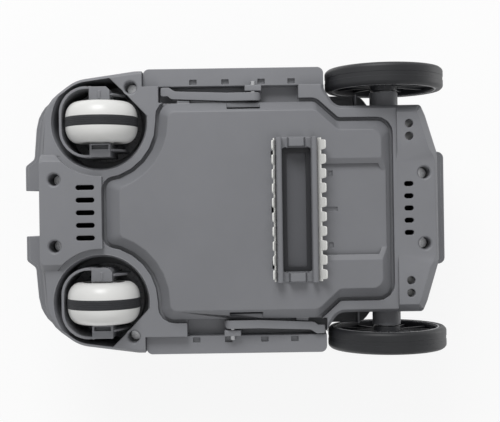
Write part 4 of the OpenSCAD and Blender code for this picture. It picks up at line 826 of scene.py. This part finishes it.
# %% Let it sink between the hoops
held = bag.vertex_groups.new(name="held")
hem_top = bag_low.z + 12 * mm
hoop_top = hoop_high.z - 4 * mm
hoop_half = 2.5 * mm
hoop_reach = 5 * mm
settle_frames = 25
for v in evened.vertices:
    near_hoop = any(abs(v.co.y - y) < hoop_reach for y in (hoop_low.y + hoop_half, hoop_high.y - hoop_half))
    if v.co.z < hem_top or (near_hoop and v.co.z > hoop_top):
        held.add([v.index], 1.0, "REPLACE")
cloth = bag.modifiers.new("cloth", "CLOTH")
cloth.settings.quality = 6
cloth.settings.mass = 0.15
cloth.settings.tension_stiffness = 25
cloth.settings.compression_stiffness = 6
cloth.settings.bending_stiffness = 0.3
cloth.settings.vertex_group_mass = "held"
cloth.collision_settings.use_self_collision = False
for f in range(1, settle_frames + 1):
    bpy.context.scene.frame_set(f)
graph = bpy.context.evaluated_depsgraph_get()
sunk = bpy.data.meshes.new_from_object(bag.evaluated_get(graph), depsgraph=graph)
bag.modifiers.clear()
bag.data = sunk
bpy.context.scene.frame_set(1)
bag_skin = bag.data

# %% Woven finish and thickness
bag_cloth = finish("bag_weave", "d6d6d2", "efefec", 0.85, grain_scale=500, bump=0.1, tone=0.06,
                   edge_amount=0.15)
t = bag_cloth.node_tree
where = t.nodes.new("ShaderNodeTexCoord")
threads = [t.nodes.new("ShaderNodeTexWave") for _ in "xyz"]
both = t.nodes.new("ShaderNodeVectorMath")
both.operation = "LENGTH"
join = t.nodes.new("ShaderNodeCombineXYZ")
for w, direction, socket in zip(threads, "XYZ", join.inputs):
    w.wave_type = "BANDS"
    w.bands_direction = direction
    w.inputs["Scale"].default_value = 260
    t.links.new(where.outputs["Object"], w.inputs["Vector"])
    t.links.new(w.outputs["Fac"], socket)
weave = t.nodes.new("ShaderNodeBump")
weave.inputs["Strength"].default_value = 0.35
weave.inputs["Distance"].default_value = 0.0004
grained = next(n for n in t.nodes if n.type == "BUMP" and n != weave)
t.links.new(join.outputs["Vector"], both.inputs[0])
t.links.new(both.outputs["Value"], weave.inputs["Height"])
t.links.new(grained.outputs["Normal"], weave.inputs["Normal"])
t.links.new(weave.outputs["Normal"], t.nodes["Principled BSDF"].inputs["Normal"])
bag_skin.materials.clear()
bag_skin.materials.append(bag_cloth)
bag_skin.shade_smooth()
wall = bag.modifiers.new("wall", "SOLIDIFY")
wall.thickness = cloth_thick
wall.offset = -1
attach(bag, "lid")
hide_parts("filter_bag")

# %% [markdown]
# ## The carrying handle
# The handle is a fat arch that a hand fits round. A row of fine ribs under the fingers keeps a wet
# hand from slipping.

# %% Handle and its grip ribs
soften("handle_bar", "carry_handle", width=0.0014, segments=3)
low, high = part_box("carry_handle")
grip = slab([(-0.5 * mm, -9 * mm), (0.5 * mm, -9 * mm), (0.5 * mm, 9 * mm), (-0.5 * mm, 9 * mm)],
            0.7 * mm, bevel=0.2 * mm)
rows = 11
pitch = 5 * mm
start = -pitch * (rows - 1) / 2
ribs = copies(grip, in_a_row, band_rubber, Count=rows, Start=(start, 0, 0), Step=(pitch, 0, 0))
upright = Matrix.Rotation(math.radians(90), 4, "Z")
show("handle_ribs", moved(ribs, (0, 0, high.z - 0.75 * mm), upright), "chassis", band_rubber)
print(rows, "grip ribs")

# %% [markdown]
# ## Box of the imported model
# The size of the imported model's box is printed. The dressed model must stay inside the imported
# one.

# %% Sizes and finish
print("packed box", [round(v, 4) for v in cad_box[1] - cad_box[0]])
